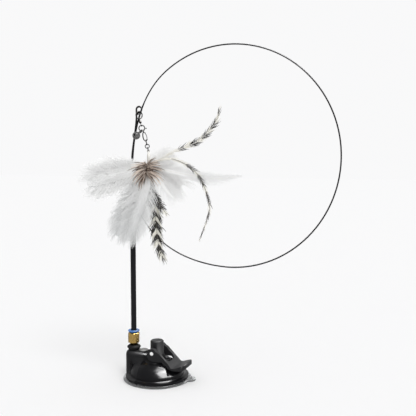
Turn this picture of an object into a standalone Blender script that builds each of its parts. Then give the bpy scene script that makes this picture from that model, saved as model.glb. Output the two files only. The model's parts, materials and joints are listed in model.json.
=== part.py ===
"""Feather teaser wand: a suction cup base, a black wand in a push-in fitting, a springy wire
hoop, and a chain with a swivel, a clasp, a bell and a bundle of feathers.

Units are metres, +Z is up. The origin is on the surface that the cup stands on, on the wand's
axis. +X points from the wand to the middle of the suction cup and on into the hoop, and -Y is
the side that the chain hangs on.
"""

import math

import bmesh
import bpy
from mathutils import Matrix, Vector

# Fits and facets
FIT_GAP = 0.0003
OVERRUN = 0.004
WELD = 0.000001
TURN_STEPS = 48
SMALL_TURN_STEPS = 24
RING_STEPS = 20
RING_SIDES = 6
WIRE_ROUNDNESS = 1
LINK_END_STEPS = 6
SHARP_ANGLE = math.radians(35)

# Suction disc
DISC_RADIUS = 0.0375
DISC_THICKNESS = 0.0023
DISC_EDGE = 0.0008
LIP_WIDTH = 0.0115
PULLED_HEIGHT = 0.0034
MEMBRANE_THICKNESS = 0.0021
TAB_REACH = 0.0062
TAB_WIDTH = 0.015
TAB_THICKNESS = 0.0013
TAB_TURN = math.radians(9)
CUP_OFFSET = 0.0285

# Housing
RIM_RADIUS = 0.0348
RIM_HEIGHT = 0.0024
STEP_RADIUS = 0.0295
STEP_HEIGHT = 0.0008
DOME_HEIGHT = 0.0172
DOME_FLAT_RADIUS = 0.004
DOME_POINTS = 12
POCKET_TURN = math.radians(41.5)
POCKET_TOP = 0.0138
POCKET_FOOT = 0.0098
SHELL_WALL = 0.0026
TURRET_RADIUS = 0.0148
TURRET_BEVEL = 0.0008
BOSS_RADIUS = 0.009
FACE_SLOT_WIDTH = 0.004
FACE_SLOT_DEPTH = 0.002
FACE_SLOT_FOOT = 0.0072
FACE_SLOT_TOP = 0.0158
FACE_SLOT_OFFSET = 0.0013
RIDGE_END_RADIUS = 0.0097
RIDGE_TOP = 0.0293
SHOULDER_WIDTH = 0.0035
SHOULDER_HEIGHT = 0.0052
SHOULDER_STEPS = 5
SOCKET_DEPTH = 0.015
PIN_NOTCH_WIDTH = 0.0052
CEILING_HEIGHT = 0.0115
HUB_CAVITY_RADIUS = 0.0145
PLUG_RADIUS = 0.0052
PLUG_HEIGHT = 0.0013
PLUG_OFFSET = 0.0118
PLUG_BEVEL = 0.0004

# Plunger, pin and lever
KNOB_RADIUS = 0.0074
KNOB_TOP = 0.043
KNOB_EDGE = 0.0011
KNOB_DISH_RADIUS = 0.0055
KNOB_DISH_DEPTH = 0.0005
FOOT_RADIUS = 0.011
FOOT_THICKNESS = 0.0018
PIN_RADIUS = 0.002
PIN_HEIGHT = 0.0314
PIN_END_BEVEL = 0.0003
HUB_RADIUS = 0.0054
CAM_RISE = 0.0032
CAM_TURN = math.radians(100)
CAM_POINTS = 10
LEVER_WIDTH = 0.03
LEVER_REACH = 0.0384
RAIL_THICKNESS = 0.0046
SLOT_END_SHARE = 0.456
RAIL_TOP_SHARES = ((0.179, 0.042), (0.589, -0.363))
TAB_TOP_SHARES = ((0.663, -0.363), (0.757, -0.331), (0.873, -0.289), (0.952, -0.263))
TAB_END_SHARES = ((0.989, -0.271), (1.0, -0.305), (0.989, -0.368), (0.947, -0.405))
TAB_UNDER_SHARES = (
    (0.842, -0.421), (0.631, -0.426), (0.495, -0.389), (0.421, -0.279), (0.316, -0.214),
)
TAB_CORNER = 0.0095
TAB_CORNER_STEPS = 5

# Push-in fitting
COLLAR_NUT_RADIUS = 0.0075
COLLAR_NUT_NECK = 0.0056
COLLAR_NUT_HEIGHT = 0.0055
COLLAR_NUT_BAND = 0.0012
COLLAR_NUT_WIDEST_SHARE = 0.6
STUB_RADIUS = 0.0032
NECK_HEIGHT = 0.0024
NECK_RADIUS = 0.0042
HEX_FLATS = 0.012
HEX_HEIGHT = 0.0118
HEX_CHAMFER = 0.0009
HEX_TURN = math.radians(-11)
CARTRIDGE_RADIUS = 0.0048
CARTRIDGE_DEPTH = 0.0092
TUBE_SEAT_DEPTH = 0.0023
ORING_WIRE = 0.0006
GRIPPER_THICKNESS = 0.0008
GRIPPER_RISE = 0.0032
COLLAR_SLEEVE_RADIUS = 0.0045
COLLAR_SLEEVE_DEPTH = 0.0038
COLLAR_FLANGE_RADIUS = 0.0064
COLLAR_FLANGE_HEIGHT = 0.0014
COLLAR_TRAVEL = 0.001
COLLAR_EDGE = 0.0004

# Wand and the root of the wire
TUBE_RADIUS = 0.003
TUBE_BORE = 0.002
TUBE_TOP = 0.19
TUBE_EDGE = 0.0002
TUBE_RUNNING_GAP = 0.00035
WIRE_PLUG_DEPTH = 0.018
WIRE_PLUG_HEAD = 0.0027
WIRE_PLUG_CONE = 0.0016
ROOT_DEPTH = 0.016

# Hoop of spring wire
WIRE_RADIUS = 0.00055
HOOP_RADIUS = 0.1157
HOOP_CENTRE_X = 0.1119
HOOP_CENTRE_Z = 0.2453
WIRE_STEP = 0.0058
RISE_STRAIGHT = 0.0345
RISE_BEND = 0.04
HOOP_JOIN_ANGLE = math.radians(128)
HOOP_LEAVE_ANGLE = math.radians(-95)
RETURN_RADIUS = 0.1204
RETURN_ANGLE = math.radians(-140)
RETURN_HEADING = math.radians(130.5)
RETURN_BEND = 0.032
LAP_BEND = 0.022
LAP_HEIGHT = 0.2475
LAP_LEAN = math.radians(86)
LAP_DEPTH = 0.0017
EYE_CENTRE = (0.011, -0.0046, 0.2964)
EYE_RADIUS = 0.0032
EYE_START_ANGLE = math.radians(186)
EYE_END_ANGLE = math.radians(-112)
EYE_STEPS = 18
EYE_BEND = 0.013
EYE_TAIL = 0.0024

# Chain, with each link hung on the one above
LINK_WIRE = 0.00042
TOP_RING_RADIUS = 0.004
TOP_RING_WIRE = 0.00045
TOP_RING_TURN = math.radians(60)
SWIVEL_EYE_RADIUS = 0.00125
SWIVEL_EYE_WIRE = 0.00038
SWIVEL_END = (0.0142, -0.0058, 0.2794)
SWIVEL_BARREL_RADIUS = 0.0014
SWIVEL_BARREL_LENGTH = 0.0025
SWIVEL_SHANK_RADIUS = 0.0005
SWIVEL_HEAD_RADIUS = 0.0009
SWIVEL_HEAD_HEIGHT = 0.0005
FACE_TURN = math.radians(20)
CLASP_RADIUS = 0.0031
CLASP_WIRE = 0.00055
CLASP_LEAN = math.radians(9)
CLASP_SPREAD = math.radians(22)
TRIGGER_RADIUS = 0.0008
TRIGGER_LENGTH = 0.0013
TRIGGER_ANGLE = math.radians(-8)
BELL_RADIUS = 0.0043
BELL_WALL = 0.0005
BELL_STEPS = 32
BELL_CENTRE = (0.0111, -0.012, 0.2683)
BELL_SLOT = 0.0009
BELL_SLOT_REACH_SHARE = 0.72
BELL_HOLE_RADIUS = 0.001
BELL_BALL_RADIUS = 0.0014
BELL_EYE_RADIUS = 0.0011
BELL_EYE_WIRE = 0.00035
HOOK_LENGTH = 0.0098
HOOK_WIDTH = 0.0046
HOOK_WIRE = 0.00055
HOOK_LEAN = math.radians(14)
HOOK_POINTS = 26
HOOK_GATE_START = math.radians(38)
HOOK_GATE_END = math.radians(-34)
HOOK_EYE_RADIUS = 0.00125
HOOK_EYE_WIRE = 0.00042
GATE_WIRE = 0.00045
GATE_CLEARANCE = math.radians(4.5)
LONG_LINK_LENGTH = 0.0058
LONG_LINK_WIDTH = 0.0026
DROP_RING_RADIUS = 0.0022
LOW_RING_RADIUS = 0.0019
CHAIN_LEAN = math.radians(14)
CHAIN_FORWARD = math.radians(4)
BINDING_EYE_RADIUS = 0.0012
BINDING_RADIUS = 0.0019
KNOT_RADIUS = 0.0026
KNOT_CENTRE = (0.0241, -0.009, 0.2357)

# Feathers: each has a length and a greatest width and thickness. A path is in shares of the
# length, from the middle of the knot, and an outline is in shares of the width and thickness.
QUILL_RADIUS = 0.0005
FEATHER_RINGS = 14
FEATHER_SIDES = 8
PLUME_OUTLINE_SHARES = (
    (0.0, 0.0), (0.1, 0.03), (0.2, 0.4), (0.35, 0.8), (0.5, 0.97), (0.65, 1.0),
    (0.8, 0.9), (0.92, 0.6), (1.0, 0.12),
)
HACKLE_OUTLINE_SHARES = (
    (0.0, 0.0), (0.08, 0.05), (0.2, 0.6), (0.4, 1.0), (0.6, 0.95), (0.8, 0.7), (0.93, 0.4),
    (1.0, 0.05),
)
FEATHERS = {
    "plume_left": {
        "length": 0.087, "width": 0.034, "thickness": 0.007, "kind": "plume",
        "path_shares": ((-0.28, -0.015, -0.045), (-0.6, -0.035, -0.115), (-0.93, -0.055, -0.26)),
    },
    "plume_lower_left": {
        "length": 0.098, "width": 0.026, "thickness": 0.005, "kind": "plume",
        "path_shares": ((-0.12, 0.004, -0.25), (-0.28, 0.004, -0.55), (-0.47, -0.01, -0.86)),
    },
    "plume_lower_middle": {
        "length": 0.086, "width": 0.024, "thickness": 0.005, "kind": "plume",
        "path_shares": ((-0.02, -0.09, -0.25), (-0.1, -0.1, -0.59), (-0.22, -0.1, -0.96)),
    },
    "plume_right": {
        "length": 0.06, "width": 0.034, "thickness": 0.005, "kind": "plume",
        "path_shares": ((0.28, 0.075, -0.11), (0.56, 0.055, -0.26), (0.78, 0.045, -0.5)),
    },
    "plume_far_right": {
        "length": 0.112, "width": 0.014, "thickness": 0.0035, "kind": "plume",
        "path_shares": ((0.33, -0.032, -0.065), (0.67, -0.035, -0.11), (0.99, -0.04, -0.073)),
    },
    "plume_top": {
        "length": 0.041, "width": 0.015, "thickness": 0.004, "kind": "plume",
        "path_shares": ((0.18, 0.05, 0.2), (0.48, 0.07, 0.36), (0.82, 0.07, 0.42)),
    },
    "plume_small": {
        "length": 0.059, "width": 0.017, "thickness": 0.0035, "kind": "plume",
        "path_shares": ((0.24, -0.045, -0.26), (0.48, -0.065, -0.48), (0.77, -0.07, -0.64)),
    },
    "hackle_up": {
        "length": 0.106, "width": 0.0062, "thickness": 0.0016, "kind": "hackle",
        "path_shares": (
            (0.25, -0.012, 0.13), (0.39, -0.015, 0.185), (0.55, -0.015, 0.25),
            (0.67, -0.015, 0.36), (0.735, -0.015, 0.45), (0.766, -0.015, 0.566),
        ),
    },
    "hackle_right": {
        "length": 0.137, "width": 0.0068, "thickness": 0.0016, "kind": "hackle",
        "path_shares": (
            (0.12, -0.045, 0.045), (0.23, -0.052, 0.055), (0.375, -0.05, -0.01),
            (0.46, -0.05, -0.105), (0.52, -0.05, -0.26), (0.515, -0.05, -0.37),
            (0.446, -0.05, -0.555),
        ),
    },
    "hackle_down": {
        "length": 0.107, "width": 0.0125, "thickness": 0.0018, "kind": "hackle",
        "path_shares": (
            (0.013, 0.012, -0.19), (0.055, 0.024, -0.48), (0.086, 0.031, -0.81),
            (0.148, 0.033, -0.98),
        ),
    },
    "hackle_short": {
        "length": 0.058, "width": 0.0042, "thickness": 0.0014, "kind": "hackle",
        "path_shares": ((0.115, -0.075, -0.42), (0.27, -0.07, -0.73), (0.4, -0.06, -0.91)),
    },
}
TUFT_RADIUS = 0.0135
TUFT_THICKNESS = 0.0026
TUFT_FORWARD = 0.0105
TUFT_DROP = 0.002
TUFT_SPIKES = 9
TUFT_NOTCH_SHARE = 0.62
TUFT_STALK_RADIUS = 0.0008

# Places that follow from the sizes above
HOUSING_BASE = DISC_THICKNESS + FIT_GAP
STEP_TOP = HOUSING_BASE + RIM_HEIGHT + STEP_HEIGHT
TURRET_TOP = PIN_HEIGHT - HUB_RADIUS - CAM_RISE - FIT_GAP
GUIDE_RADIUS = KNOB_RADIUS + FIT_GAP
SOCKET_RADIUS = STUB_RADIUS + FIT_GAP
NUT_BASE = RIDGE_TOP + FIT_GAP
HEX_BASE = NUT_BASE + COLLAR_NUT_HEIGHT + NECK_HEIGHT
HEX_TOP = HEX_BASE + HEX_HEIGHT
CARTRIDGE_FLOOR = HEX_TOP - CARTRIDGE_DEPTH
TUBE_FOOT = CARTRIDGE_FLOOR - TUBE_SEAT_DEPTH + FIT_GAP
RUNNING_RADIUS = TUBE_RADIUS + TUBE_RUNNING_GAP
COLLAR_FLANGE_BASE = HEX_TOP + COLLAR_TRAVEL + FIT_GAP
WIRE_BASE = TUBE_TOP + FIT_GAP + WIRE_PLUG_HEAD + FIT_GAP
FACE_ACROSS = Vector((math.cos(FACE_TURN), math.sin(FACE_TURN), 0))
FACE_NORMAL = Vector((math.sin(FACE_TURN), -math.cos(FACE_TURN), 0))
DOWN = Vector((0, 0, -1))


def clear_scene():
    for item in list(bpy.data.objects):
        bpy.data.objects.remove(item, do_unlink=True)


def make_material(name, colour, roughness, metallic=0.0, alpha=1.0):
    material = bpy.data.materials.new(name)
    material.use_nodes = True
    shader = material.node_tree.nodes["Principled BSDF"]
    shader.inputs["Base Color"].default_value = (*colour, 1.0)
    shader.inputs["Roughness"].default_value = roughness
    shader.inputs["Metallic"].default_value = metallic
    shader.inputs["Alpha"].default_value = alpha
    return material


def make_materials():
    return {
        "housing": make_material("black_abs", (0.012, 0.012, 0.013), 0.22),
        "moulding": make_material("satin_black", (0.02, 0.02, 0.021), 0.38),
        "clear": make_material("clear_vinyl", (0.82, 0.85, 0.85), 0.12, alpha=0.4),
        "plug": make_material("grey_plug", (0.18, 0.18, 0.18), 0.6),
        "brass": make_material("brass", (0.72, 0.5, 0.2), 0.25, 1.0),
        "blue": make_material("blue_acetal", (0.05, 0.2, 0.72), 0.4),
        "rubber": make_material("black_rubber", (0.03, 0.03, 0.03), 0.7),
        "tube": make_material("black_tube", (0.015, 0.015, 0.016), 0.35),
        "wire": make_material("spring_wire", (0.08, 0.08, 0.085), 0.35, 1.0),
        "steel": make_material("bright_steel", (0.72, 0.72, 0.72), 0.2, 1.0),
        "dark_steel": make_material("dark_steel", (0.25, 0.24, 0.23), 0.3, 1.0),
        "thread": make_material("white_thread", (0.86, 0.86, 0.84), 0.8),
        "plume": make_material("white_plume", (0.9, 0.9, 0.89), 0.85),
        "hackle": make_material("barred_hackle", (0.4, 0.38, 0.34), 0.7),
        "tuft": make_material("brown_tuft", (0.4, 0.3, 0.24), 0.8),
    }


def square_to(direction, along):
    """The part of a direction that is square to another, as a unit vector."""
    return (direction - along * direction.dot(along)).normalized()


def add_object(name, data, material, place=(0, 0, 0)):
    item = bpy.data.objects.new(name, data)
    bpy.context.collection.objects.link(item)
    data.materials.append(material)
    item.location = place
    return item


def carry(name, place, pieces):
    """An empty on a joint's axis, which carries the pieces that move together."""
    axis = bpy.data.objects.new(name, None)
    bpy.context.collection.objects.link(axis)
    axis.empty_display_size = HUB_RADIUS
    axis.location = place
    for piece in pieces:
        piece.parent = axis
        piece.matrix_parent_inverse = Matrix.Translation(-axis.location)


def finish_mesh(bm, name):
    bmesh.ops.remove_doubles(bm, verts=bm.verts, dist=WELD)
    bmesh.ops.recalc_face_normals(bm, faces=bm.faces)
    mesh = bpy.data.meshes.new(name)
    bm.to_mesh(mesh)
    bm.free()
    mesh.shade_smooth()
    mesh.set_sharp_from_angle(angle=SHARP_ANGLE)
    return mesh


def turned_mesh(name, profile, steps=TURN_STEPS, closed=False):
    """Spins a profile of (radius, height) points round Z."""
    bm = bmesh.new()
    verts = [bm.verts.new((radius, 0, height)) for radius, height in profile]
    pairs = list(zip(verts, verts[1:]))
    if closed:
        pairs.append((verts[-1], verts[0]))
    edges = [bm.edges.new(pair) for pair in pairs]
    bmesh.ops.spin(
        bm, geom=verts + edges, cent=(0, 0, 0), axis=(0, 0, 1), angle=math.tau, steps=steps,
        use_merge=True,
    )
    return finish_mesh(bm, name)


def ring_profile(ring_radius, wire_radius, sides=RING_SIDES):
    turns = [math.tau * step / sides for step in range(sides)]
    return [
        (ring_radius + wire_radius * math.cos(turn), wire_radius * math.sin(turn))
        for turn in turns
    ]


def bar_mesh(name, radius, low, high, steps=SMALL_TURN_STEPS):
    """A round bar along Z, from one height to another."""
    return turned_mesh(name, [(0, high), (radius, high), (radius, low), (0, low)], steps)


def ball_profile(radius, steps):
    """Half a circle from the top to the bottom, as (radius, height) points."""
    turns = [math.pi * step / steps for step in range(steps)]
    arc = [(radius * math.sin(turn), radius * math.cos(turn)) for turn in turns]
    return arc + [(0, -radius)]


def box_mesh(name, low, high):
    bm = bmesh.new()
    size = [top - bottom for bottom, top in zip(low, high)]
    middle = [(top + bottom) / 2 for bottom, top in zip(low, high)]
    place = Matrix.Translation(middle) @ Matrix.Diagonal((*size, 1))
    bmesh.ops.create_cube(bm, size=1, matrix=place)
    return finish_mesh(bm, name)


def prism_mesh(name, outline, low, high, axis="Z"):
    """Extrudes a closed outline along an axis, from low to high."""
    bm = bmesh.new()
    if axis == "Z":
        points = [(a, b, low) for a, b in outline]
        travel = (0, 0, high - low)
    else:
        points = [(a, low, b) for a, b in outline]
        travel = (0, high - low, 0)
    face = bm.faces.new([bm.verts.new(point) for point in points])
    result = bmesh.ops.extrude_face_region(bm, geom=[face])
    moved = [item for item in result["geom"] if isinstance(item, bmesh.types.BMVert)]
    bmesh.ops.translate(bm, verts=moved, vec=travel)
    return finish_mesh(bm, name)


def stacked_mesh(name, layers):
    """Joins closed outlines, each at its own height, and closes both ends."""
    bm = bmesh.new()
    rows = [[bm.verts.new((a, b, height)) for a, b in outline] for outline, height in layers]
    for lower, upper in zip(rows, rows[1:]):
        for k in range(len(lower)):
            beyond = (k + 1) % len(lower)
            bm.faces.new((lower[k], lower[beyond], upper[beyond], upper[k]))
    bm.faces.new(rows[0])
    bm.faces.new(rows[-1])
    return finish_mesh(bm, name)


def arc_points(centre, radius, start, end, steps):
    turns = [start + (end - start) * step / steps for step in range(steps + 1)]
    return [
        (centre[0] + radius * math.cos(turn), centre[1] + radius * math.sin(turn))
        for turn in turns
    ]


def as_guide(item):
    """Hides an object that is only there for a Boolean."""
    item.hide_render = True
    item.display_type = "WIRE"
    return item


def cutter(name, mesh, place=(0, 0, 0)):
    item = bpy.data.objects.new(name, mesh)
    bpy.context.collection.objects.link(item)
    item.location = place
    return as_guide(item)


def combine(item, tool, operation):
    step = item.modifiers.new(operation.lower() + "_" + tool.name, "BOOLEAN")
    step.operation = operation
    step.solver = "EXACT"
    step.object = tool


def tube(name, points, radius, material, cyclic=False):
    """A wire: a poly spline with a round section and closed ends."""
    curve = bpy.data.curves.new(name, "CURVE")
    curve.dimensions = "3D"
    curve.bevel_depth = radius
    curve.bevel_resolution = WIRE_ROUNDNESS
    curve.use_fill_caps = not cyclic
    spline = curve.splines.new("POLY")
    spline.points.add(len(points) - 1)
    for point, place in zip(spline.points, points):
        point.co = (*place, 1)
    spline.use_cyclic_u = cyclic
    return add_object(name, curve, material)


def ring(name, centre, normal, ring_radius, wire_radius, material, steps=RING_STEPS):
    mesh = turned_mesh(name, ring_profile(ring_radius, wire_radius), steps, closed=True)
    turn = Vector((0, 0, 1)).rotation_difference(Vector(normal))
    mesh.transform(Matrix.Translation(centre) @ turn.to_matrix().to_4x4())
    return add_object(name, mesh, material)


def bezier(start, first, second, end, steps):
    points = []
    for step in range(steps + 1):
        t = step / steps
        u = 1 - t
        points.append(
            u**3 * start + 3 * u * u * t * first + 3 * u * t * t * second + t**3 * end
        )
    return points


def steps_for(length):
    return max(2, round(length / WIRE_STEP))


def suction_disc(materials):
    """Clear disc, its middle drawn up by the plunger, with a pull tab at its edge."""
    inner = DISC_RADIUS - LIP_WIDTH
    pulled = PULLED_HEIGHT + MEMBRANE_THICKNESS
    profile = [
        (0, pulled), (FOOT_RADIUS, pulled), (inner, DISC_THICKNESS),
        (DISC_RADIUS - DISC_EDGE, DISC_THICKNESS), (DISC_RADIUS, DISC_THICKNESS - DISC_EDGE),
        (DISC_RADIUS, DISC_EDGE), (DISC_RADIUS - DISC_EDGE, 0), (inner, 0),
        (FOOT_RADIUS, PULLED_HEIGHT), (0, PULLED_HEIGHT),
    ]
    disc = add_object("suction_disc", turned_mesh("suction_disc", profile), materials["clear"])
    half = TAB_WIDTH / 2
    start = DISC_RADIUS - DISC_EDGE - DISC_EDGE
    outline = [(start, -half), *arc_points((DISC_RADIUS + TAB_REACH - half, 0), half,
                                           -math.pi / 2, math.pi / 2, TAB_CORNER_STEPS * 2),
               (start, half)]
    tab = cutter("tab_form", prism_mesh("tab_form", outline, DISC_EDGE / 2,
                                        DISC_EDGE / 2 + TAB_THICKNESS))
    tab.rotation_euler = (0, 0, TAB_TURN)
    tab.location = (CUP_OFFSET, 0, 0)
    disc.location = (CUP_OFFSET, 0, 0)
    combine(disc, tab, "UNION")
    return disc


def housing(materials):
    """Domed shell with a turret that the lever's cams press on and a ridge to the wand."""
    span = STEP_RADIUS - DOME_FLAT_RADIUS
    last = math.acos((TURRET_RADIUS - DOME_FLAT_RADIUS) / span)
    turns = [last * (1 - step / DOME_POINTS) for step in range(DOME_POINTS + 1)]
    dome = [
        (DOME_FLAT_RADIUS + span * math.cos(turn), STEP_TOP + DOME_HEIGHT * math.sin(turn))
        for turn in turns
    ]
    shelf = HOUSING_BASE + RIM_HEIGHT
    inside = STEP_RADIUS - SHELL_WALL
    profile = [
        (0, TURRET_TOP), (TURRET_RADIUS - TURRET_BEVEL, TURRET_TOP),
        (TURRET_RADIUS, TURRET_TOP - TURRET_BEVEL), *dome,
        (STEP_RADIUS, shelf), (RIM_RADIUS, shelf), (RIM_RADIUS, HOUSING_BASE),
        (0, HOUSING_BASE),
    ]
    shell = add_object("housing", turned_mesh("housing", profile), materials["housing"])
    shell.location = (CUP_OFFSET, 0, 0)

    combine(shell, cutter("ridge_form", ridge_mesh()), "UNION")

    room = cutter("foot_room_cut", turned_mesh("foot_room_cut", [
        (0, CEILING_HEIGHT), (HUB_CAVITY_RADIUS, CEILING_HEIGHT), (inside, STEP_TOP),
        (inside, HOUSING_BASE - OVERRUN), (0, HOUSING_BASE - OVERRUN),
    ], TURN_STEPS), (CUP_OFFSET, 0, 0))
    column = prism_mesh("boss_foot_form", arc_points((0, 0), BOSS_RADIUS, 0, math.tau,
                                                     SMALL_TURN_STEPS)[:-1],
                        PULLED_HEIGHT + MEMBRANE_THICKNESS + FIT_GAP,
                        CEILING_HEIGHT + OVERRUN)
    combine(room, cutter("boss_foot_form", column), "DIFFERENCE")
    combine(shell, room, "DIFFERENCE")
    combine(shell, cutter("lever_pocket_cut", pocket_mesh(), (CUP_OFFSET, 0, 0)),
            "DIFFERENCE")
    bore = bar_mesh("guide_cut", GUIDE_RADIUS, CEILING_HEIGHT - OVERRUN, RIDGE_TOP + OVERRUN,
                    TURN_STEPS)
    combine(shell, cutter("guide_cut", bore, (CUP_OFFSET, 0, 0)), "DIFFERENCE")
    socket = bar_mesh("socket_cut", SOCKET_RADIUS, RIDGE_TOP - SOCKET_DEPTH,
                      RIDGE_TOP + OVERRUN)
    combine(shell, cutter("socket_cut", socket), "DIFFERENCE")
    half = PIN_NOTCH_WIDTH / 2
    notch_floor = PIN_HEIGHT - PIN_RADIUS - CAM_RISE - FIT_GAP
    notch = box_mesh("pin_notch_cut",
                     (CUP_OFFSET - half, -LEVER_WIDTH / 2, notch_floor),
                     (CUP_OFFSET + half, LEVER_WIDTH / 2, RIDGE_TOP + OVERRUN))
    combine(shell, cutter("pin_notch_cut", notch), "DIFFERENCE")
    face_slot = box_mesh("face_slot_cut",
                         (FACE_SLOT_OFFSET - FACE_SLOT_WIDTH / 2, -BOSS_RADIUS - OVERRUN,
                          FACE_SLOT_FOOT),
                         (FACE_SLOT_OFFSET + FACE_SLOT_WIDTH / 2, FACE_SLOT_DEPTH - BOSS_RADIUS,
                          FACE_SLOT_TOP))
    combine(shell, cutter("face_slot_cut", face_slot), "DIFFERENCE")
    return shell


def ridge_mesh():
    """A block with round ends and a rounded shoulder, from the wand to the cup's middle."""
    lean = math.asin((RIDGE_END_RADIUS - BOSS_RADIUS) / CUP_OFFSET)
    side = math.pi / 2 + lean
    half_steps = SMALL_TURN_STEPS // 2
    rows = [(0, HOUSING_BASE + RIM_HEIGHT / 2)]
    for step in range(SHOULDER_STEPS + 1):
        turn = math.pi / 2 * step / SHOULDER_STEPS
        rows.append((
            SHOULDER_WIDTH * (1 - math.cos(turn)),
            RIDGE_TOP - SHOULDER_HEIGHT * (1 - math.sin(turn)),
        ))
    layers = []
    for inset, height in rows:
        outline = arc_points((0, 0), BOSS_RADIUS - inset, side, math.tau - side, half_steps)
        outline += arc_points((CUP_OFFSET, 0), RIDGE_END_RADIUS - inset, -side, side, half_steps)
        layers.append((outline, height))
    return stacked_mesh("ridge_form", layers)


def pocket_mesh():
    """A sector of a ring with a sloping floor, open to the outside, that clears the lever."""
    inner = TURRET_RADIUS
    outer = STEP_RADIUS + OVERRUN
    slope = (POCKET_FOOT - POCKET_TOP) / (STEP_RADIUS - TURRET_RADIUS)
    outer_foot = POCKET_FOOT + slope * OVERRUN
    bm = bmesh.new()
    rows = []
    for step in range(DOME_POINTS + 1):
        turn = POCKET_TURN * (2 * step / DOME_POINTS - 1)
        rows.append([
            bm.verts.new((radius * math.cos(turn), radius * math.sin(turn), height))
            for radius, height in ((inner, POCKET_TOP), (outer, outer_foot),
                                   (outer, TURRET_TOP), (inner, TURRET_TOP))
        ])
    for before, after in zip(rows, rows[1:]):
        for k in range(4):
            beyond = (k + 1) % 4
            bm.faces.new((before[k], before[beyond], after[beyond], after[k]))
    bm.faces.new(rows[0])
    bm.faces.new(rows[-1])
    return finish_mesh(bm, "lever_pocket_cut")


def ridge_plug(materials):
    base = RIDGE_TOP + FIT_GAP
    profile = [
        (0, base + PLUG_HEIGHT), (PLUG_RADIUS - PLUG_BEVEL, base + PLUG_HEIGHT),
        (PLUG_RADIUS, base + PLUG_HEIGHT - PLUG_BEVEL), (PLUG_RADIUS, base), (0, base),
    ]
    mesh = turned_mesh("ridge_plug", profile, SMALL_TURN_STEPS)
    return add_object("ridge_plug", mesh, materials["plug"], place=(PLUG_OFFSET, 0, 0))


def plunger(materials):
    """Knob, stem and foot in one, drawn up by the lever through the cross pin."""
    foot = PULLED_HEIGHT + MEMBRANE_THICKNESS + FIT_GAP
    profile = [
        (0, KNOB_TOP - KNOB_DISH_DEPTH),
        (KNOB_DISH_RADIUS - KNOB_DISH_DEPTH, KNOB_TOP - KNOB_DISH_DEPTH),
        (KNOB_DISH_RADIUS, KNOB_TOP), (KNOB_RADIUS - KNOB_EDGE, KNOB_TOP),
        (KNOB_RADIUS, KNOB_TOP - KNOB_EDGE),
        (KNOB_RADIUS, foot + FOOT_THICKNESS), (FOOT_RADIUS, foot + FOOT_THICKNESS),
        (FOOT_RADIUS, foot), (0, foot),
    ]
    mesh = turned_mesh("plunger", profile, TURN_STEPS)
    item = add_object("plunger", mesh, materials["moulding"], place=(CUP_OFFSET, 0, 0))
    hole = cross_rod("plunger_pin_cut", PIN_RADIUS + FIT_GAP, KNOB_RADIUS + OVERRUN)
    combine(item, cutter("plunger_pin_cut", hole, (CUP_OFFSET, 0, PIN_HEIGHT)), "DIFFERENCE")
    return item


def cross_rod(name, radius, half_length, end_bevel=0.0):
    """A round bar along Y, centred on its own origin."""
    mesh = turned_mesh(name, [
        (0, half_length), (radius - end_bevel, half_length), (radius, half_length - end_bevel),
        (radius, end_bevel - half_length), (radius - end_bevel, -half_length),
        (0, -half_length),
    ], SMALL_TURN_STEPS)
    mesh.transform(Matrix.Rotation(math.pi / 2, 4, "X"))
    return mesh


def lever_pin(materials):
    mesh = cross_rod("lever_pin", PIN_RADIUS, LEVER_WIDTH / 2 + PIN_END_BEVEL, PIN_END_BEVEL)
    return add_object("lever_pin", mesh, materials["steel"], place=(CUP_OFFSET, 0, PIN_HEIGHT))


def lever(materials):
    """Two cam plates on the pin, joined past a slot by a web that ends in a finger tab."""
    shares = [*RAIL_TOP_SHARES, *TAB_TOP_SHARES, *TAB_END_SHARES, *TAB_UNDER_SHARES]
    outline = [(LEVER_REACH * across, LEVER_REACH * up) for across, up in shares]
    slope = CAM_RISE / CAM_TURN
    for step in range(CAM_POINTS + 1):
        turn = CAM_TURN * step / CAM_POINTS
        reach = HUB_RADIUS + CAM_RISE * (1 - step / CAM_POINTS)
        outline.append((
            slope * math.cos(turn) - reach * math.sin(turn),
            -reach * math.cos(turn) - slope * math.sin(turn),
        ))
    hub_start = 3 * math.pi / 2 - CAM_TURN
    outline += arc_points((0, 0), HUB_RADIUS, hub_start, math.pi / 6, SMALL_TURN_STEPS // 3)[1:]
    half = LEVER_WIDTH / 2
    pivot = (CUP_OFFSET, 0, PIN_HEIGHT)
    mesh = prism_mesh("lever", outline, -half, half, axis="Y")
    item = add_object("lever", mesh, materials["moulding"], place=pivot)

    inside = half - RAIL_THICKNESS
    slot_end = LEVER_REACH * SLOT_END_SHARE
    reach = LEVER_REACH / 2
    corner = TAB_CORNER_STEPS
    slot = [(-reach, -inside), *arc_points((slot_end - inside / 2, -inside / 2), inside / 2,
                                           -math.pi / 2, 0, corner),
            *arc_points((slot_end - inside / 2, inside / 2), inside / 2, 0, math.pi / 2,
                        corner), (-reach, inside)]
    opening = prism_mesh("lever_slot_cut", slot, -reach, reach)
    combine(item, cutter("lever_slot_cut", opening, pivot), "DIFFERENCE")
    bound = [(-reach, -half - OVERRUN), (reach, -half - OVERRUN),
             *arc_points((LEVER_REACH - TAB_CORNER, -half + TAB_CORNER), TAB_CORNER,
                         -math.pi / 2, 0, corner),
             *arc_points((LEVER_REACH - TAB_CORNER, half - TAB_CORNER), TAB_CORNER, 0,
                         math.pi / 2, corner),
             (reach, half + OVERRUN), (-reach, half + OVERRUN)]
    corners = prism_mesh("tab_corner_form", bound, -reach, reach)
    combine(item, cutter("tab_corner_form", corners, pivot), "INTERSECT")
    hole = cross_rod("lever_pin_cut", PIN_RADIUS + FIT_GAP, half + OVERRUN)
    combine(item, cutter("lever_pin_cut", hole, pivot), "DIFFERENCE")
    return item


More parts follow.
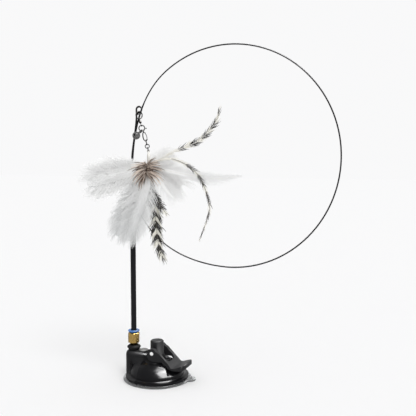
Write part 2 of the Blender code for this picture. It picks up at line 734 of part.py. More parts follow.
def collar_nut(materials):
    middle = NUT_BASE + COLLAR_NUT_HEIGHT * COLLAR_NUT_WIDEST_SHARE - COLLAR_NUT_BAND / 2
    top = NUT_BASE + COLLAR_NUT_HEIGHT
    bore = SOCKET_RADIUS
    profile = [
        (bore, top), (COLLAR_NUT_NECK, top), (COLLAR_NUT_RADIUS, middle + COLLAR_NUT_BAND),
        (COLLAR_NUT_RADIUS, middle), (COLLAR_NUT_NECK, NUT_BASE), (bore, NUT_BASE),
    ]
    mesh = turned_mesh("collar_nut", profile, SMALL_TURN_STEPS, closed=True)
    return add_object("collar_nut", mesh, materials["rubber"])


def fitting_body(materials):
    """Brass hexagon with a stub that goes down through the nut into the housing's socket."""
    corner = HEX_FLATS / math.sqrt(3)
    outline = [
        (corner * math.cos(HEX_TURN + math.tau * step / 6),
         corner * math.sin(HEX_TURN + math.tau * step / 6)) for step in range(6)
    ]
    item = add_object(
        "fitting_body", prism_mesh("fitting_body", outline, HEX_BASE, HEX_TOP),
        materials["brass"],
    )
    flat = HEX_FLATS / 2
    chamfer = turned_mesh("hex_chamfer_form", [
        (0, HEX_TOP + OVERRUN / 2), (flat - HEX_CHAMFER, HEX_TOP + OVERRUN / 2),
        (flat - HEX_CHAMFER, HEX_TOP), (corner, HEX_TOP - HEX_CHAMFER),
        (corner + OVERRUN, HEX_TOP - HEX_CHAMFER - OVERRUN / 2),
        (corner + OVERRUN, HEX_BASE + HEX_CHAMFER + OVERRUN / 2),
        (corner, HEX_BASE + HEX_CHAMFER), (flat - HEX_CHAMFER, HEX_BASE),
        (flat - HEX_CHAMFER, HEX_BASE - OVERRUN / 2), (0, HEX_BASE - OVERRUN / 2),
    ], SMALL_TURN_STEPS)
    combine(item, cutter("hex_chamfer_form", chamfer), "INTERSECT")
    stub_foot = RIDGE_TOP - SOCKET_DEPTH + FIT_GAP
    neck_foot = NUT_BASE + COLLAR_NUT_HEIGHT + FIT_GAP
    stub = turned_mesh("fitting_stub_form", [
        (0, HEX_BASE + HEX_CHAMFER), (NECK_RADIUS, HEX_BASE + HEX_CHAMFER),
        (NECK_RADIUS, neck_foot), (STUB_RADIUS, neck_foot), (STUB_RADIUS, stub_foot),
        (0, stub_foot),
    ], SMALL_TURN_STEPS)
    combine(item, cutter("fitting_stub_form", stub), "UNION")
    bore = turned_mesh("fitting_bore_cut", [
        (0, HEX_TOP + OVERRUN), (CARTRIDGE_RADIUS, HEX_TOP + OVERRUN),
        (CARTRIDGE_RADIUS, CARTRIDGE_FLOOR), (RUNNING_RADIUS, CARTRIDGE_FLOOR),
        (RUNNING_RADIUS, CARTRIDGE_FLOOR - TUBE_SEAT_DEPTH),
        (0, CARTRIDGE_FLOOR - TUBE_SEAT_DEPTH),
    ], SMALL_TURN_STEPS)
    combine(item, cutter("fitting_bore_cut", bore), "DIFFERENCE")
    return item


def seal_ring(materials):
    middle = CARTRIDGE_FLOOR + FIT_GAP + ORING_WIRE
    radius = RUNNING_RADIUS + ORING_WIRE
    return ring("seal_ring", (0, 0, middle), (0, 0, 1), radius, ORING_WIRE,
                materials["rubber"], SMALL_TURN_STEPS)


def gripper_ring(materials):
    base = CARTRIDGE_FLOOR + GRIPPER_RISE
    outer = CARTRIDGE_RADIUS - FIT_GAP
    profile = [
        (RUNNING_RADIUS, base + GRIPPER_THICKNESS), (outer, base + GRIPPER_THICKNESS),
        (outer, base), (RUNNING_RADIUS, base),
    ]
    mesh = turned_mesh("gripper_ring", profile, SMALL_TURN_STEPS, closed=True)
    return add_object("gripper_ring", mesh, materials["steel"])


def release_collar(materials):
    """Blue flanged sleeve that is pushed down to let the tube go."""
    top = COLLAR_FLANGE_BASE + COLLAR_FLANGE_HEIGHT
    sleeve_foot = HEX_TOP - COLLAR_SLEEVE_DEPTH
    profile = [
        (RUNNING_RADIUS + COLLAR_EDGE, top), (COLLAR_FLANGE_RADIUS - COLLAR_EDGE, top),
        (COLLAR_FLANGE_RADIUS, top - COLLAR_EDGE), (COLLAR_FLANGE_RADIUS, COLLAR_FLANGE_BASE),
        (COLLAR_SLEEVE_RADIUS, COLLAR_FLANGE_BASE), (COLLAR_SLEEVE_RADIUS, sleeve_foot),
        (RUNNING_RADIUS, sleeve_foot), (RUNNING_RADIUS, top - COLLAR_EDGE),
    ]
    mesh = turned_mesh("release_collar", profile, SMALL_TURN_STEPS, closed=True)
    return add_object("release_collar", mesh, materials["blue"])


def wand_tube(materials):
    profile = [
        (TUBE_BORE, TUBE_TOP), (TUBE_RADIUS - TUBE_EDGE, TUBE_TOP),
        (TUBE_RADIUS, TUBE_TOP - TUBE_EDGE), (TUBE_RADIUS, TUBE_FOOT), (TUBE_BORE, TUBE_FOOT),
    ]
    mesh = turned_mesh("wand_tube", profile, SMALL_TURN_STEPS, closed=True)
    return add_object("wand_tube", mesh, materials["tube"])


def wire_plug(materials):
    """Plug pressed into the tube's top, bored for the end of the wire."""
    shank = TUBE_BORE - FIT_GAP
    bore = WIRE_RADIUS + FIT_GAP
    head = TUBE_TOP + FIT_GAP
    top = head + WIRE_PLUG_HEAD
    profile = [
        (bore, top), (TUBE_RADIUS - WIRE_PLUG_CONE, top), (TUBE_RADIUS, top - WIRE_PLUG_CONE),
        (TUBE_RADIUS, head), (shank, head), (shank, TUBE_TOP - WIRE_PLUG_DEPTH),
        (bore, TUBE_TOP - WIRE_PLUG_DEPTH),
    ]
    mesh = turned_mesh("wire_plug", profile, SMALL_TURN_STEPS, closed=True)
    return add_object("wire_plug", mesh, materials["rubber"])


def wire_root(materials):
    """The end of the wire that is held in the plug, straight below the free wire."""
    low = WIRE_BASE - FIT_GAP - ROOT_DEPTH
    return tube("wire_root", [(0, 0, low), (0, 0, WIRE_BASE - FIT_GAP)], WIRE_RADIUS,
                materials["wire"])


def hoop_point(angle, radius=HOOP_RADIUS):
    return Vector((
        HOOP_CENTRE_X + radius * math.cos(angle), 0, HOOP_CENTRE_Z + radius * math.sin(angle)
    ))


def hoop_heading(angle):
    """Which way the wire runs round the hoop there: over the top to the right."""
    return Vector((math.sin(angle), 0, -math.cos(angle)))


def heading(angle):
    return Vector((math.cos(angle), 0, math.sin(angle)))


def hoop_route():
    """Up out of the wand, once round the hoop, up beside its own start and into an eye."""
    up = Vector((0, 0, 1))
    foot = Vector((0, 0, WIRE_BASE))
    bend_start = foot + up * RISE_STRAIGHT
    join = hoop_point(HOOP_JOIN_ANGLE)
    rise = bezier(bend_start, bend_start + up * RISE_BEND,
                  join - hoop_heading(HOOP_JOIN_ANGLE) * RISE_BEND, join,
                  steps_for((join - bend_start).length))
    sweep = HOOP_JOIN_ANGLE - HOOP_LEAVE_ANGLE
    count = steps_for(sweep * HOOP_RADIUS)
    circle = [hoop_point(HOOP_JOIN_ANGLE - sweep * step / count) for step in range(count + 1)]
    leave = circle[-1]
    back = hoop_point(RETURN_ANGLE, RETURN_RADIUS)
    swing = bezier(leave, leave + hoop_heading(HOOP_LEAVE_ANGLE) * RETURN_BEND,
                   back - heading(RETURN_HEADING) * RETURN_BEND, back,
                   steps_for((back - leave).length))
    lap = nearest_rise(rise, LAP_HEIGHT)
    close = bezier(back, back + heading(RETURN_HEADING) * LAP_BEND,
                   lap - heading(LAP_LEAN) * LAP_BEND, lap, steps_for((lap - back).length))
    eye = Vector(EYE_CENTRE)
    eye_start = eye + heading(EYE_START_ANGLE) * EYE_RADIUS
    along = hoop_heading(EYE_START_ANGLE)
    final = bezier(lap, lap + heading(LAP_LEAN) * EYE_BEND, eye_start - along * EYE_BEND,
                   eye_start, steps_for((eye_start - lap).length))
    straight = [foot + up * RISE_STRAIGHT * step / 2 for step in range(2)]
    flat = straight + rise + circle[1:] + swing[1:]
    drawn = close[1:]
    for step, point in enumerate(drawn, 1):
        point.y = -LAP_DEPTH * step / len(drawn)
    for step, point in enumerate(final[1:], 1):
        share = step / (len(final) - 1)
        point.y = -LAP_DEPTH + (eye.y + LAP_DEPTH) * share * share * (3 - 2 * share)
    loop = []
    for step in range(1, EYE_STEPS + 1):
        angle = EYE_START_ANGLE + (EYE_END_ANGLE - EYE_START_ANGLE) * step / EYE_STEPS
        loop.append(eye + heading(angle) * EYE_RADIUS)
    tail = loop[-1] + Vector((0, 0, -EYE_TAIL))
    return flat + drawn + final[1:] + loop + [tail]


def nearest_rise(rise, height):
    """The rising wire's place at a height, which the lap runs up in front of."""
    return min(rise, key=lambda point: abs(point.z - height)).copy()


def spring_wire(materials):
    return tube("spring_wire", hoop_route(), WIRE_RADIUS, materials["wire"])


def top_ring_centre():
    drop = EYE_RADIUS - WIRE_RADIUS - FIT_GAP - TOP_RING_WIRE + TOP_RING_RADIUS
    return Vector(EYE_CENTRE) + DOWN * drop


def top_ring(materials):
    normal = (-math.sin(TOP_RING_TURN), math.cos(TOP_RING_TURN), 0)
    return ring("top_ring", top_ring_centre(), normal, TOP_RING_RADIUS, TOP_RING_WIRE,
                materials["steel"])


def swivel_frame():
    """Where the swivel's upper eye hangs, where its lower eye holds, and the way between."""
    start = top_ring_centre() + DOWN * TOP_RING_RADIUS
    end = Vector(SWIVEL_END)
    return start, end, (end - start).normalized()


def eye_slack(held_wire):
    """How far the middle of a swivel's eye is from the middle of the wire that it holds."""
    return SWIVEL_EYE_RADIUS - SWIVEL_EYE_WIRE - held_wire - FIT_GAP / 2


def stem(name, start, end, radius, material=None, steps=SMALL_TURN_STEPS // 2):
    """A short round bar between two places."""
    mesh = bar_mesh(name, radius, 0, (end - start).length, steps)
    turn = Vector((0, 0, 1)).rotation_difference(end - start)
    mesh.transform(Matrix.Translation(start) @ turn.to_matrix().to_4x4())
    if material:
        return add_object(name, mesh, material)
    return cutter(name, mesh)


def swivel_eye(materials):
    """The upper eye, whose headed shank turns in the barrel."""
    start, _, along = swivel_frame()
    ring_tangent = Vector((math.cos(TOP_RING_TURN), math.sin(TOP_RING_TURN), 0))
    normal = square_to(ring_tangent, along)
    centre = start + along * eye_slack(TOP_RING_WIRE)
    item = ring("swivel_eye", centre, normal, SWIVEL_EYE_RADIUS, SWIVEL_EYE_WIRE,
                materials["dark_steel"])
    shank_start = centre + along * SWIVEL_EYE_RADIUS
    head_end = barrel_start() + along * (SWIVEL_BARREL_LENGTH - FIT_GAP)
    combine(item, stem("eye_shank_form", shank_start, head_end, SWIVEL_SHANK_RADIUS), "UNION")
    head_start = head_end - along * SWIVEL_HEAD_HEIGHT
    combine(item, stem("eye_head_form", head_start, head_end, SWIVEL_HEAD_RADIUS), "UNION")
    return item


def barrel_start():
    start, _, along = swivel_frame()
    slack = eye_slack(TOP_RING_WIRE)
    return start + along * (slack + SWIVEL_EYE_RADIUS + SWIVEL_EYE_WIRE + FIT_GAP)


def swivel_barrel(materials):
    """The barrel, open at the top round the shank, with the lower eye."""
    _, _, along = swivel_frame()
    start = barrel_start()
    throat = SWIVEL_SHANK_RADIUS + FIT_GAP
    chamber = SWIVEL_HEAD_RADIUS + FIT_GAP / 2
    lip = SWIVEL_HEAD_HEIGHT
    floor = SWIVEL_BARREL_LENGTH
    profile = [
        (throat, 0), (throat, lip), (chamber, lip), (chamber, floor), (0, floor),
        (0, floor + lip), (SWIVEL_BARREL_RADIUS - FIT_GAP, floor + lip),
        (SWIVEL_BARREL_RADIUS, floor), (SWIVEL_BARREL_RADIUS, lip),
        (SWIVEL_BARREL_RADIUS - FIT_GAP, 0),
    ]
    mesh = turned_mesh("swivel_barrel", profile, SMALL_TURN_STEPS, closed=True)
    turn = Vector((0, 0, 1)).rotation_difference(along)
    mesh.transform(Matrix.Translation(start) @ turn.to_matrix().to_4x4())
    item = add_object("swivel_barrel", mesh, materials["dark_steel"])
    centre = lower_eye_centre()
    normal = square_to(FACE_ACROSS, along)
    eye = ring("lower_eye_form", centre, normal, SWIVEL_EYE_RADIUS, SWIVEL_EYE_WIRE,
               materials["dark_steel"])
    combine(item, as_guide(eye), "UNION")
    neck_start = start + along * (floor + lip / 2)
    neck_end = centre - along * (SWIVEL_EYE_RADIUS - SWIVEL_EYE_WIRE / 2)
    combine(item, stem("lower_neck_form", neck_start, neck_end, SWIVEL_SHANK_RADIUS), "UNION")
    return item


def lower_eye_centre():
    _, end, along = swivel_frame()
    return end - along * eye_slack(CLASP_WIRE)


def clasp_frame():
    """The clasp's centre and its own down and across, in the plane that faces the viewer."""
    down = DOWN * math.cos(CLASP_LEAN) + FACE_ACROSS * math.sin(CLASP_LEAN)
    across = FACE_ACROSS * math.cos(CLASP_LEAN) - DOWN * math.sin(CLASP_LEAN)
    centre = Vector(SWIVEL_END) + down * CLASP_RADIUS
    return centre, down, across


def clasp_ring(materials):
    centre, _, _ = clasp_frame()
    return ring("clasp_ring", centre, FACE_NORMAL, CLASP_RADIUS, CLASP_WIRE,
                materials["steel"], SMALL_TURN_STEPS)


def clasp_trigger(materials):
    """The spring ring's thumb knob, just outside the ring on its right."""
    centre, down, across = clasp_frame()
    out = across * math.cos(TRIGGER_ANGLE) - down * math.sin(TRIGGER_ANGLE)
    start = centre + out * (CLASP_RADIUS + CLASP_WIRE + FIT_GAP)
    return stem("clasp_trigger", start, start + out * TRIGGER_LENGTH, TRIGGER_RADIUS,
                materials["steel"])


def clasp_hold(side):
    """A place on the clasp's lower wire: side is -1 for the bell, 1 for the hook."""
    centre, down, across = clasp_frame()
    angle = CLASP_SPREAD * side
    return centre + (down * math.cos(angle) + across * math.sin(angle)) * CLASP_RADIUS


def bell_frame():
    """The bell's centre, and the way from it to the eye that it hangs by."""
    centre = Vector(BELL_CENTRE)
    hold = clasp_hold(-1)
    toward = (hold - centre).normalized()
    return centre, hold, toward


def bell_eye_centre():
    centre, _, toward = bell_frame()
    return centre + toward * (BELL_RADIUS + FIT_GAP + BELL_EYE_RADIUS + BELL_EYE_WIRE)


def bell_ring(materials):
    """Jump ring that ties the bell's eye to the clasp."""
    _, hold, toward = bell_frame()
    high = hold + toward * (CLASP_WIRE + LINK_WIRE + FIT_GAP / 2)
    eye_top = bell_eye_centre() + toward * BELL_EYE_RADIUS
    low = eye_top - toward * (BELL_EYE_WIRE + LINK_WIRE + FIT_GAP / 2)
    normal = square_to(FACE_ACROSS, toward)
    return ring("bell_ring", (high + low) / 2, normal, (high - low).length / 2, LINK_WIRE,
                materials["steel"])


def bell_eye(materials):
    _, _, toward = bell_frame()
    across = square_to(FACE_ACROSS, toward)
    normal = toward.cross(across).normalized()
    return ring("bell_eye", bell_eye_centre(), normal, BELL_EYE_RADIUS, BELL_EYE_WIRE,
                materials["steel"])


def bell_shell(materials):
    """Hollow sphere with a slot across its lower end and a round hole at each end of it."""
    centre, _, toward = bell_frame()
    half = BELL_STEPS // 2
    mesh = turned_mesh("bell_shell", ball_profile(BELL_RADIUS, half), BELL_STEPS)
    hollow = turned_mesh("bell_hollow_cut", ball_profile(BELL_RADIUS - BELL_WALL, half),
                         BELL_STEPS)
    turn = Vector((0, 0, 1)).rotation_difference(toward).to_matrix().to_4x4()
    place = Matrix.Translation(centre) @ turn
    mesh.transform(place)
    hollow.transform(place)
    item = add_object("bell_shell", mesh, materials["steel"])
    combine(item, cutter("bell_hollow_cut", hollow), "DIFFERENCE")
    reach = BELL_RADIUS * BELL_SLOT_REACH_SHARE
    slot = box_mesh("bell_slot_cut", (-BELL_SLOT / 2, -reach, -BELL_RADIUS - OVERRUN),
                    (BELL_SLOT / 2, reach, 0))
    slot.transform(place)
    combine(item, cutter("bell_slot_cut", slot), "DIFFERENCE")
    for side, name in ((-1, "bell_hole_cut_a"), (1, "bell_hole_cut_b")):
        hole = bar_mesh(name, BELL_HOLE_RADIUS, -BELL_RADIUS - OVERRUN, 0,
                        SMALL_TURN_STEPS // 2)
        hole.transform(place @ Matrix.Translation((0, side * reach, 0)))
        combine(item, cutter(name, hole), "DIFFERENCE")
    return item


def bell_ball(materials):
    """The loose pellet, which lies in the lowest part of the bell."""
    centre = Vector(BELL_CENTRE)
    drop = BELL_RADIUS - BELL_WALL - BELL_BALL_RADIUS - FIT_GAP
    steps = SMALL_TURN_STEPS // 2
    mesh = turned_mesh("bell_ball", ball_profile(BELL_BALL_RADIUS, steps), steps)
    return add_object("bell_ball", mesh, materials["dark_steel"], place=centre + DOWN * drop)


def hook_frame():
    """The hook's middle and its own down and across, in the plane that faces the viewer."""
    down = DOWN * math.cos(HOOK_LEAN) + FACE_ACROSS * math.sin(HOOK_LEAN)
    across = FACE_ACROSS * math.cos(HOOK_LEAN) - DOWN * math.sin(HOOK_LEAN)
    hold = clasp_hold(1)
    slack = HOOK_EYE_RADIUS - HOOK_EYE_WIRE - CLASP_WIRE - FIT_GAP / 2
    eye = hold + down * slack
    top = eye + down * (HOOK_EYE_RADIUS + HOOK_EYE_WIRE / 2)
    middle = top + down * (HOOK_LENGTH / 2)
    return eye, middle, down, across


def hook_point(turn):
    """A place on the hook's teardrop: turn runs from the top, round the left, to the bottom."""
    _, middle, down, across = hook_frame()
    narrow = (3 + math.cos(turn)) / 4
    wide = HOOK_WIDTH / 2 * (1.25 - narrow / 2)
    return (middle - down * (HOOK_LENGTH / 2 * math.cos(turn))
            - across * (wide * math.sin(turn)))


def hook(materials):
    """Lobster hook: an open teardrop of wire, with a small eye square to it at the top."""
    start = -(math.pi / 2 - HOOK_GATE_START)
    end = math.pi + (math.pi / 2 + HOOK_GATE_END)
    points = [hook_point(start + (end - start) * step / HOOK_POINTS)
              for step in range(HOOK_POINTS + 1)]
    wire = tube("hook", points, HOOK_WIRE, materials["dark_steel"])
    eye, _, down, _ = hook_frame()
    eye_ring = ring("hook_eye_form", eye, square_to(FACE_ACROSS, down), HOOK_EYE_RADIUS,
                    HOOK_EYE_WIRE, materials["dark_steel"])
    return join_tube(wire, as_guide(eye_ring))


def join_tube(wire, form):
    """Turns a wire curve into a mesh, which a Boolean can add a form to."""
    mesh = bpy.data.meshes.new_from_object(wire)
    material = wire.data.materials[0]
    name = wire.name
    bpy.data.objects.remove(wire, do_unlink=True)
    bm = bmesh.new()
    bm.from_mesh(mesh)
    item = add_object(name, finish_mesh(bm, name), material)
    combine(item, form, "UNION")
    return item


def gate_turns():
    """Where the gate starts, at the top, and ends, at its pivot."""
    start = -(math.pi / 2 - HOOK_GATE_START) - GATE_CLEARANCE
    end = -(math.pi / 2 - HOOK_GATE_END) + GATE_CLEARANCE
    return start, end


def hook_gate(materials):
    """The sprung gate that closes the hook's right side."""
    turn_start, turn_end = gate_turns()
    count = HOOK_POINTS // 4
    points = [hook_point(turn_start + (turn_end - turn_start) * step / count)
              for step in range(count + 1)]
    return tube("hook_gate", points, GATE_WIRE, materials["steel"])


def chain_down():
    down = DOWN * math.cos(CHAIN_LEAN) + FACE_ACROSS * math.sin(CHAIN_LEAN)
    return (down + FACE_NORMAL * math.sin(CHAIN_FORWARD)).normalized()


def long_link_frame():
    _, middle, hook_down, _ = hook_frame()
    hold = middle + hook_down * (HOOK_LENGTH / 2)
    slack = HOOK_WIRE + LINK_WIRE + FIT_GAP / 2
    down = chain_down()
    return hold - down * slack, down


def long_link(materials):
    """A long link seen edge on, with round ends."""
    start, down = long_link_frame()
    side = square_to(FACE_NORMAL, down)
    half = LONG_LINK_WIDTH / 2
    middle_top = start + down * half
    middle_low = start + down * (LONG_LINK_LENGTH - half)
    points = []
    for middle, way in ((middle_top, 1), (middle_low, -1)):
        for step in range(LINK_END_STEPS + 1):
            turn = math.pi * step / LINK_END_STEPS
            reach = side * math.cos(turn) - down * math.sin(turn)
            points.append(middle + reach * (half * way))
    return tube("long_link", points, LINK_WIRE, materials["dark_steel"], cyclic=True)


def drop_ring_centre():
    start, down = long_link_frame()
    hold = start + down * LONG_LINK_LENGTH
    return hold + down * (DROP_RING_RADIUS - LINK_WIRE * 2 - FIT_GAP / 2)


def drop_ring(materials):
    normal = square_to(FACE_NORMAL, chain_down())
    return ring("drop_ring", drop_ring_centre(), normal, DROP_RING_RADIUS, LINK_WIRE,
                materials["steel"])


def low_ring_centre():
    down = chain_down()
    hold = drop_ring_centre() + down * DROP_RING_RADIUS
    return hold + down * (LOW_RING_RADIUS - LINK_WIRE * 2 - FIT_GAP / 2)


def low_ring(materials):
    normal = square_to(FACE_ACROSS, chain_down())
    return ring("low_ring", low_ring_centre(), normal, LOW_RING_RADIUS, LINK_WIRE,
                materials["steel"])


def binding_frame():
    down = chain_down()
    hold = low_ring_centre() + down * LOW_RING_RADIUS
    eye = hold + down * (BINDING_EYE_RADIUS - LINK_WIRE * 2 - FIT_GAP / 2)
    top = eye + down * (BINDING_EYE_RADIUS + LINK_WIRE / 2)
    knot = Vector(KNOT_CENTRE)
    return eye, top, (knot - top).normalized(), knot


def binding(materials):
    """Thread wound over the quills' ends and the legs of a small wire eye."""
    eye, top, along, knot = binding_frame()
    length = (knot - top).length - KNOT_RADIUS - FIT_GAP
    swell = BINDING_RADIUS
    waist = BINDING_RADIUS / 2
    profile = [
        (0, length), (waist, length), (swell, length * 3 / 4), (swell, length / 4),
        (waist, 0), (0, 0),
    ]
    mesh = turned_mesh("binding", profile, SMALL_TURN_STEPS // 2)
    turn = Vector((0, 0, 1)).rotation_difference(along)
    mesh.transform(Matrix.Translation(top) @ turn.to_matrix().to_4x4())
    item = add_object("binding", mesh, materials["thread"])
    normal = square_to(FACE_NORMAL, chain_down())
    eye_ring = ring("binding_eye_form", eye, normal, BINDING_EYE_RADIUS, LINK_WIRE,
                    materials["thread"])
    combine(item, as_guide(eye_ring), "UNION")
    return item


def feather_knot(materials):
    profile = ball_profile(KNOT_RADIUS, SMALL_TURN_STEPS // 2)
    mesh = turned_mesh("feather_knot", profile, SMALL_TURN_STEPS)
    return add_object("feather_knot", mesh, materials["thread"], place=KNOT_CENTRE)


def smooth_path(places, share):
    """A place on the smooth curve through evenly numbered places, at a share of its way."""
    last = len(places) - 1
    position = share * last
    index = min(int(position), last - 1)
    t = position - index
    before = places[max(index - 1, 0)]
    start, end = places[index], places[index + 1]
    after = places[min(index + 2, last)]
    return 0.5 * (
        2 * start + (end - before) * t + (2 * before - 5 * start + 4 * end - after) * t * t
        + (3 * start - before - 3 * end + after) * t**3
    )


def outline_at(outline_shares, share):
    for (low, low_value), (high, high_value) in zip(outline_shares, outline_shares[1:]):
        if share <= high:
            return low_value + (high_value - low_value) * (share - low) / (high - low)
    return outline_shares[-1][1]


def feather(name, form, materials):
    """A flat, closed body round the quill, from beside the knot to the tip."""
    knot = Vector(KNOT_CENTRE)
    turns = [Vector(place) * form["length"] for place in form["path_shares"]]
    start = turns[0].normalized() * (KNOT_RADIUS + FIT_GAP + QUILL_RADIUS)
    places = [knot + start] + [knot + place for place in turns]
    if form["kind"] == "plume":
        outline_shares, material = PLUME_OUTLINE_SHARES, materials["plume"]
    else:
        outline_shares, material = HACKLE_OUTLINE_SHARES, materials["hackle"]
    bm = bmesh.new()
    rings = []
    for step in range(FEATHER_RINGS + 1):
        share = step / FEATHER_RINGS
        middle = smooth_path(places, share)
        ahead = smooth_path(places, min(1, share + 1 / FEATHER_RINGS))
        behind = smooth_path(places, max(0, share - 1 / FEATHER_RINGS))
        along = (ahead - behind).normalized()
        side = along.cross(Vector((0, 1, 0))).normalized()
        depth = side.cross(along).normalized()
        spread = outline_at(outline_shares, share)
        half_width = QUILL_RADIUS + (form["width"] / 2 - QUILL_RADIUS) * spread
        half_depth = QUILL_RADIUS + (form["thickness"] / 2 - QUILL_RADIUS) * spread
        rings.append([
            bm.verts.new(middle + side * (half_width * math.cos(math.tau * k / FEATHER_SIDES))
                         + depth * (half_depth * math.sin(math.tau * k / FEATHER_SIDES)))
            for k in range(FEATHER_SIDES)
        ])
    for lower, upper in zip(rings, rings[1:]):
        for k in range(FEATHER_SIDES):
            after = (k + 1) % FEATHER_SIDES
            bm.faces.new((lower[k], lower[after], upper[after], upper[k]))
    bm.faces.new(rings[0])
    bm.faces.new(rings[-1])
    return add_object(name, finish_mesh(bm, name), material)


def brown_tuft(materials):
    """Short brown barbs that stand out all round, as a star on a stalk in front of the knot."""
    count = TUFT_SPIKES * 2
    outline = []
    for step in range(count):
        turn = math.tau * step / count
        reach = TUFT_RADIUS * (1 if step % 2 else TUFT_NOTCH_SHARE)
        outline.append((reach * math.cos(turn), reach * math.sin(turn)))
    mesh = prism_mesh("brown_tuft", outline, -TUFT_THICKNESS / 2, TUFT_THICKNESS / 2, axis="Y")
    centre = Vector(KNOT_CENTRE) + Vector((0, -TUFT_FORWARD, -TUFT_DROP))
    item = add_object("brown_tuft", mesh, materials["tuft"], place=centre)
    start = Vector(KNOT_CENTRE) + Vector((0, -KNOT_RADIUS - FIT_GAP, 0))
    end = Vector(KNOT_CENTRE) + Vector((0, -TUFT_FORWARD, 0))
    combine(item, stem("tuft_stalk_form", start, end, TUFT_STALK_RADIUS), "UNION")
    return item


def main():
    clear_scene()
    materials = make_materials()
    suction_disc(materials)
    housing(materials)
    ridge_plug(materials)
    collar_nut(materials)
    fitting_body(materials)
    seal_ring(materials)

    pivot = (CUP_OFFSET, 0, PIN_HEIGHT)
    carry("plunger_axis", pivot, [plunger(materials), lever_pin(materials)])
    carry("lever_axis", pivot, [lever(materials)])
    carry("collar_axis", (0, 0, HEX_TOP), [release_collar(materials)])
    carry("gripper_axis", (0, 0, CARTRIDGE_FLOOR), [gripper_ring(materials)])
    carry("wand_axis", (0, 0, TUBE_FOOT),
          [wand_tube(materials), wire_plug(materials), wire_root(materials)])
    carry("wire_axis", (0, 0, WIRE_BASE), [spring_wire(materials)])

    carry("toy_swing_axis", EYE_CENTRE, [top_ring(materials), swivel_eye(materials)])
    carry("swivel_axis", barrel_start(), [swivel_barrel(materials)])
    carry("toy_nod_axis", SWIVEL_END, [clasp_ring(materials), clasp_trigger(materials)])
    carry("bell_axis", clasp_hold(-1),
          [bell_ring(materials), bell_eye(materials), bell_shell(materials)])
    carry("ball_axis", BELL_CENTRE, [bell_ball(materials)])
    carry("hook_axis", clasp_hold(1), [hook(materials)])
    carry("gate_axis", hook_point(gate_turns()[1]), [hook_gate(materials)])
    _, hook_middle, hook_down, _ = hook_frame()
    carry("link_axis", hook_middle + hook_down * (HOOK_LENGTH / 2),
          [long_link(materials), drop_ring(materials)])
    feathers = [feather(name, form, materials) for name, form in FEATHERS.items()]
    carry("feather_axis", drop_ring_centre() + chain_down() * DROP_RING_RADIUS,
          [low_ring(materials), binding(materials), feather_knot(materials),
           brown_tuft(materials), *feathers])


main()
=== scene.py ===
import json
import math

import bmesh
import bpy
import numpy as np
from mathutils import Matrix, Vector

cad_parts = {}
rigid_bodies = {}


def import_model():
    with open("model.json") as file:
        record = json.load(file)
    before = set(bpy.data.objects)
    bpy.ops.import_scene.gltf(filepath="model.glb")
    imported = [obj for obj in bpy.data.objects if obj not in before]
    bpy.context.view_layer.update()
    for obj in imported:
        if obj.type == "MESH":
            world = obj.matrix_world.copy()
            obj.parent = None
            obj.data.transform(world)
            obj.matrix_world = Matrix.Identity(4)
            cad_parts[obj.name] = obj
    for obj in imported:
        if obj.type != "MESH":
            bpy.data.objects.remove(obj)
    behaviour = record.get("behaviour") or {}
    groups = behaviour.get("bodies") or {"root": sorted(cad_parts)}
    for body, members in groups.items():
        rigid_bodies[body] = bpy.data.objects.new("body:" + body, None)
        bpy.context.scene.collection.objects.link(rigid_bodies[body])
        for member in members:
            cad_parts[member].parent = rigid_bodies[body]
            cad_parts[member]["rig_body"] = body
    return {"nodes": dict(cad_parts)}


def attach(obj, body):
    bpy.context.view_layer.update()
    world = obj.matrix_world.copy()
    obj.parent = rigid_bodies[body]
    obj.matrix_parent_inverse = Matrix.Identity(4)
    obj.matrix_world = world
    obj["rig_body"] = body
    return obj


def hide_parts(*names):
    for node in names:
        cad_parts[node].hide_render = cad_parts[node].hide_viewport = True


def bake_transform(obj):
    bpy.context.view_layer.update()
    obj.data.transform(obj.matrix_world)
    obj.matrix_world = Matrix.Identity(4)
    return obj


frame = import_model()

bl_info = {
    "name": "Feather teaser wand",
    "version": (1, 0, 0),
    "blender": (4, 5, 0),
    "location": "3D View > Sidebar > Teaser",
    "description": "Dresses the feather teaser wand: finishes, plumes, hackles and a pale stage",
    "category": "Object",
}

MM = 0.001

# ------ the feathers

# The knot that every feather grows out of, and the side that they face
KNOT = Vector((0.0241, -0.009, 0.2357))
FACE = Vector((0.0, -1.0, 0.0))

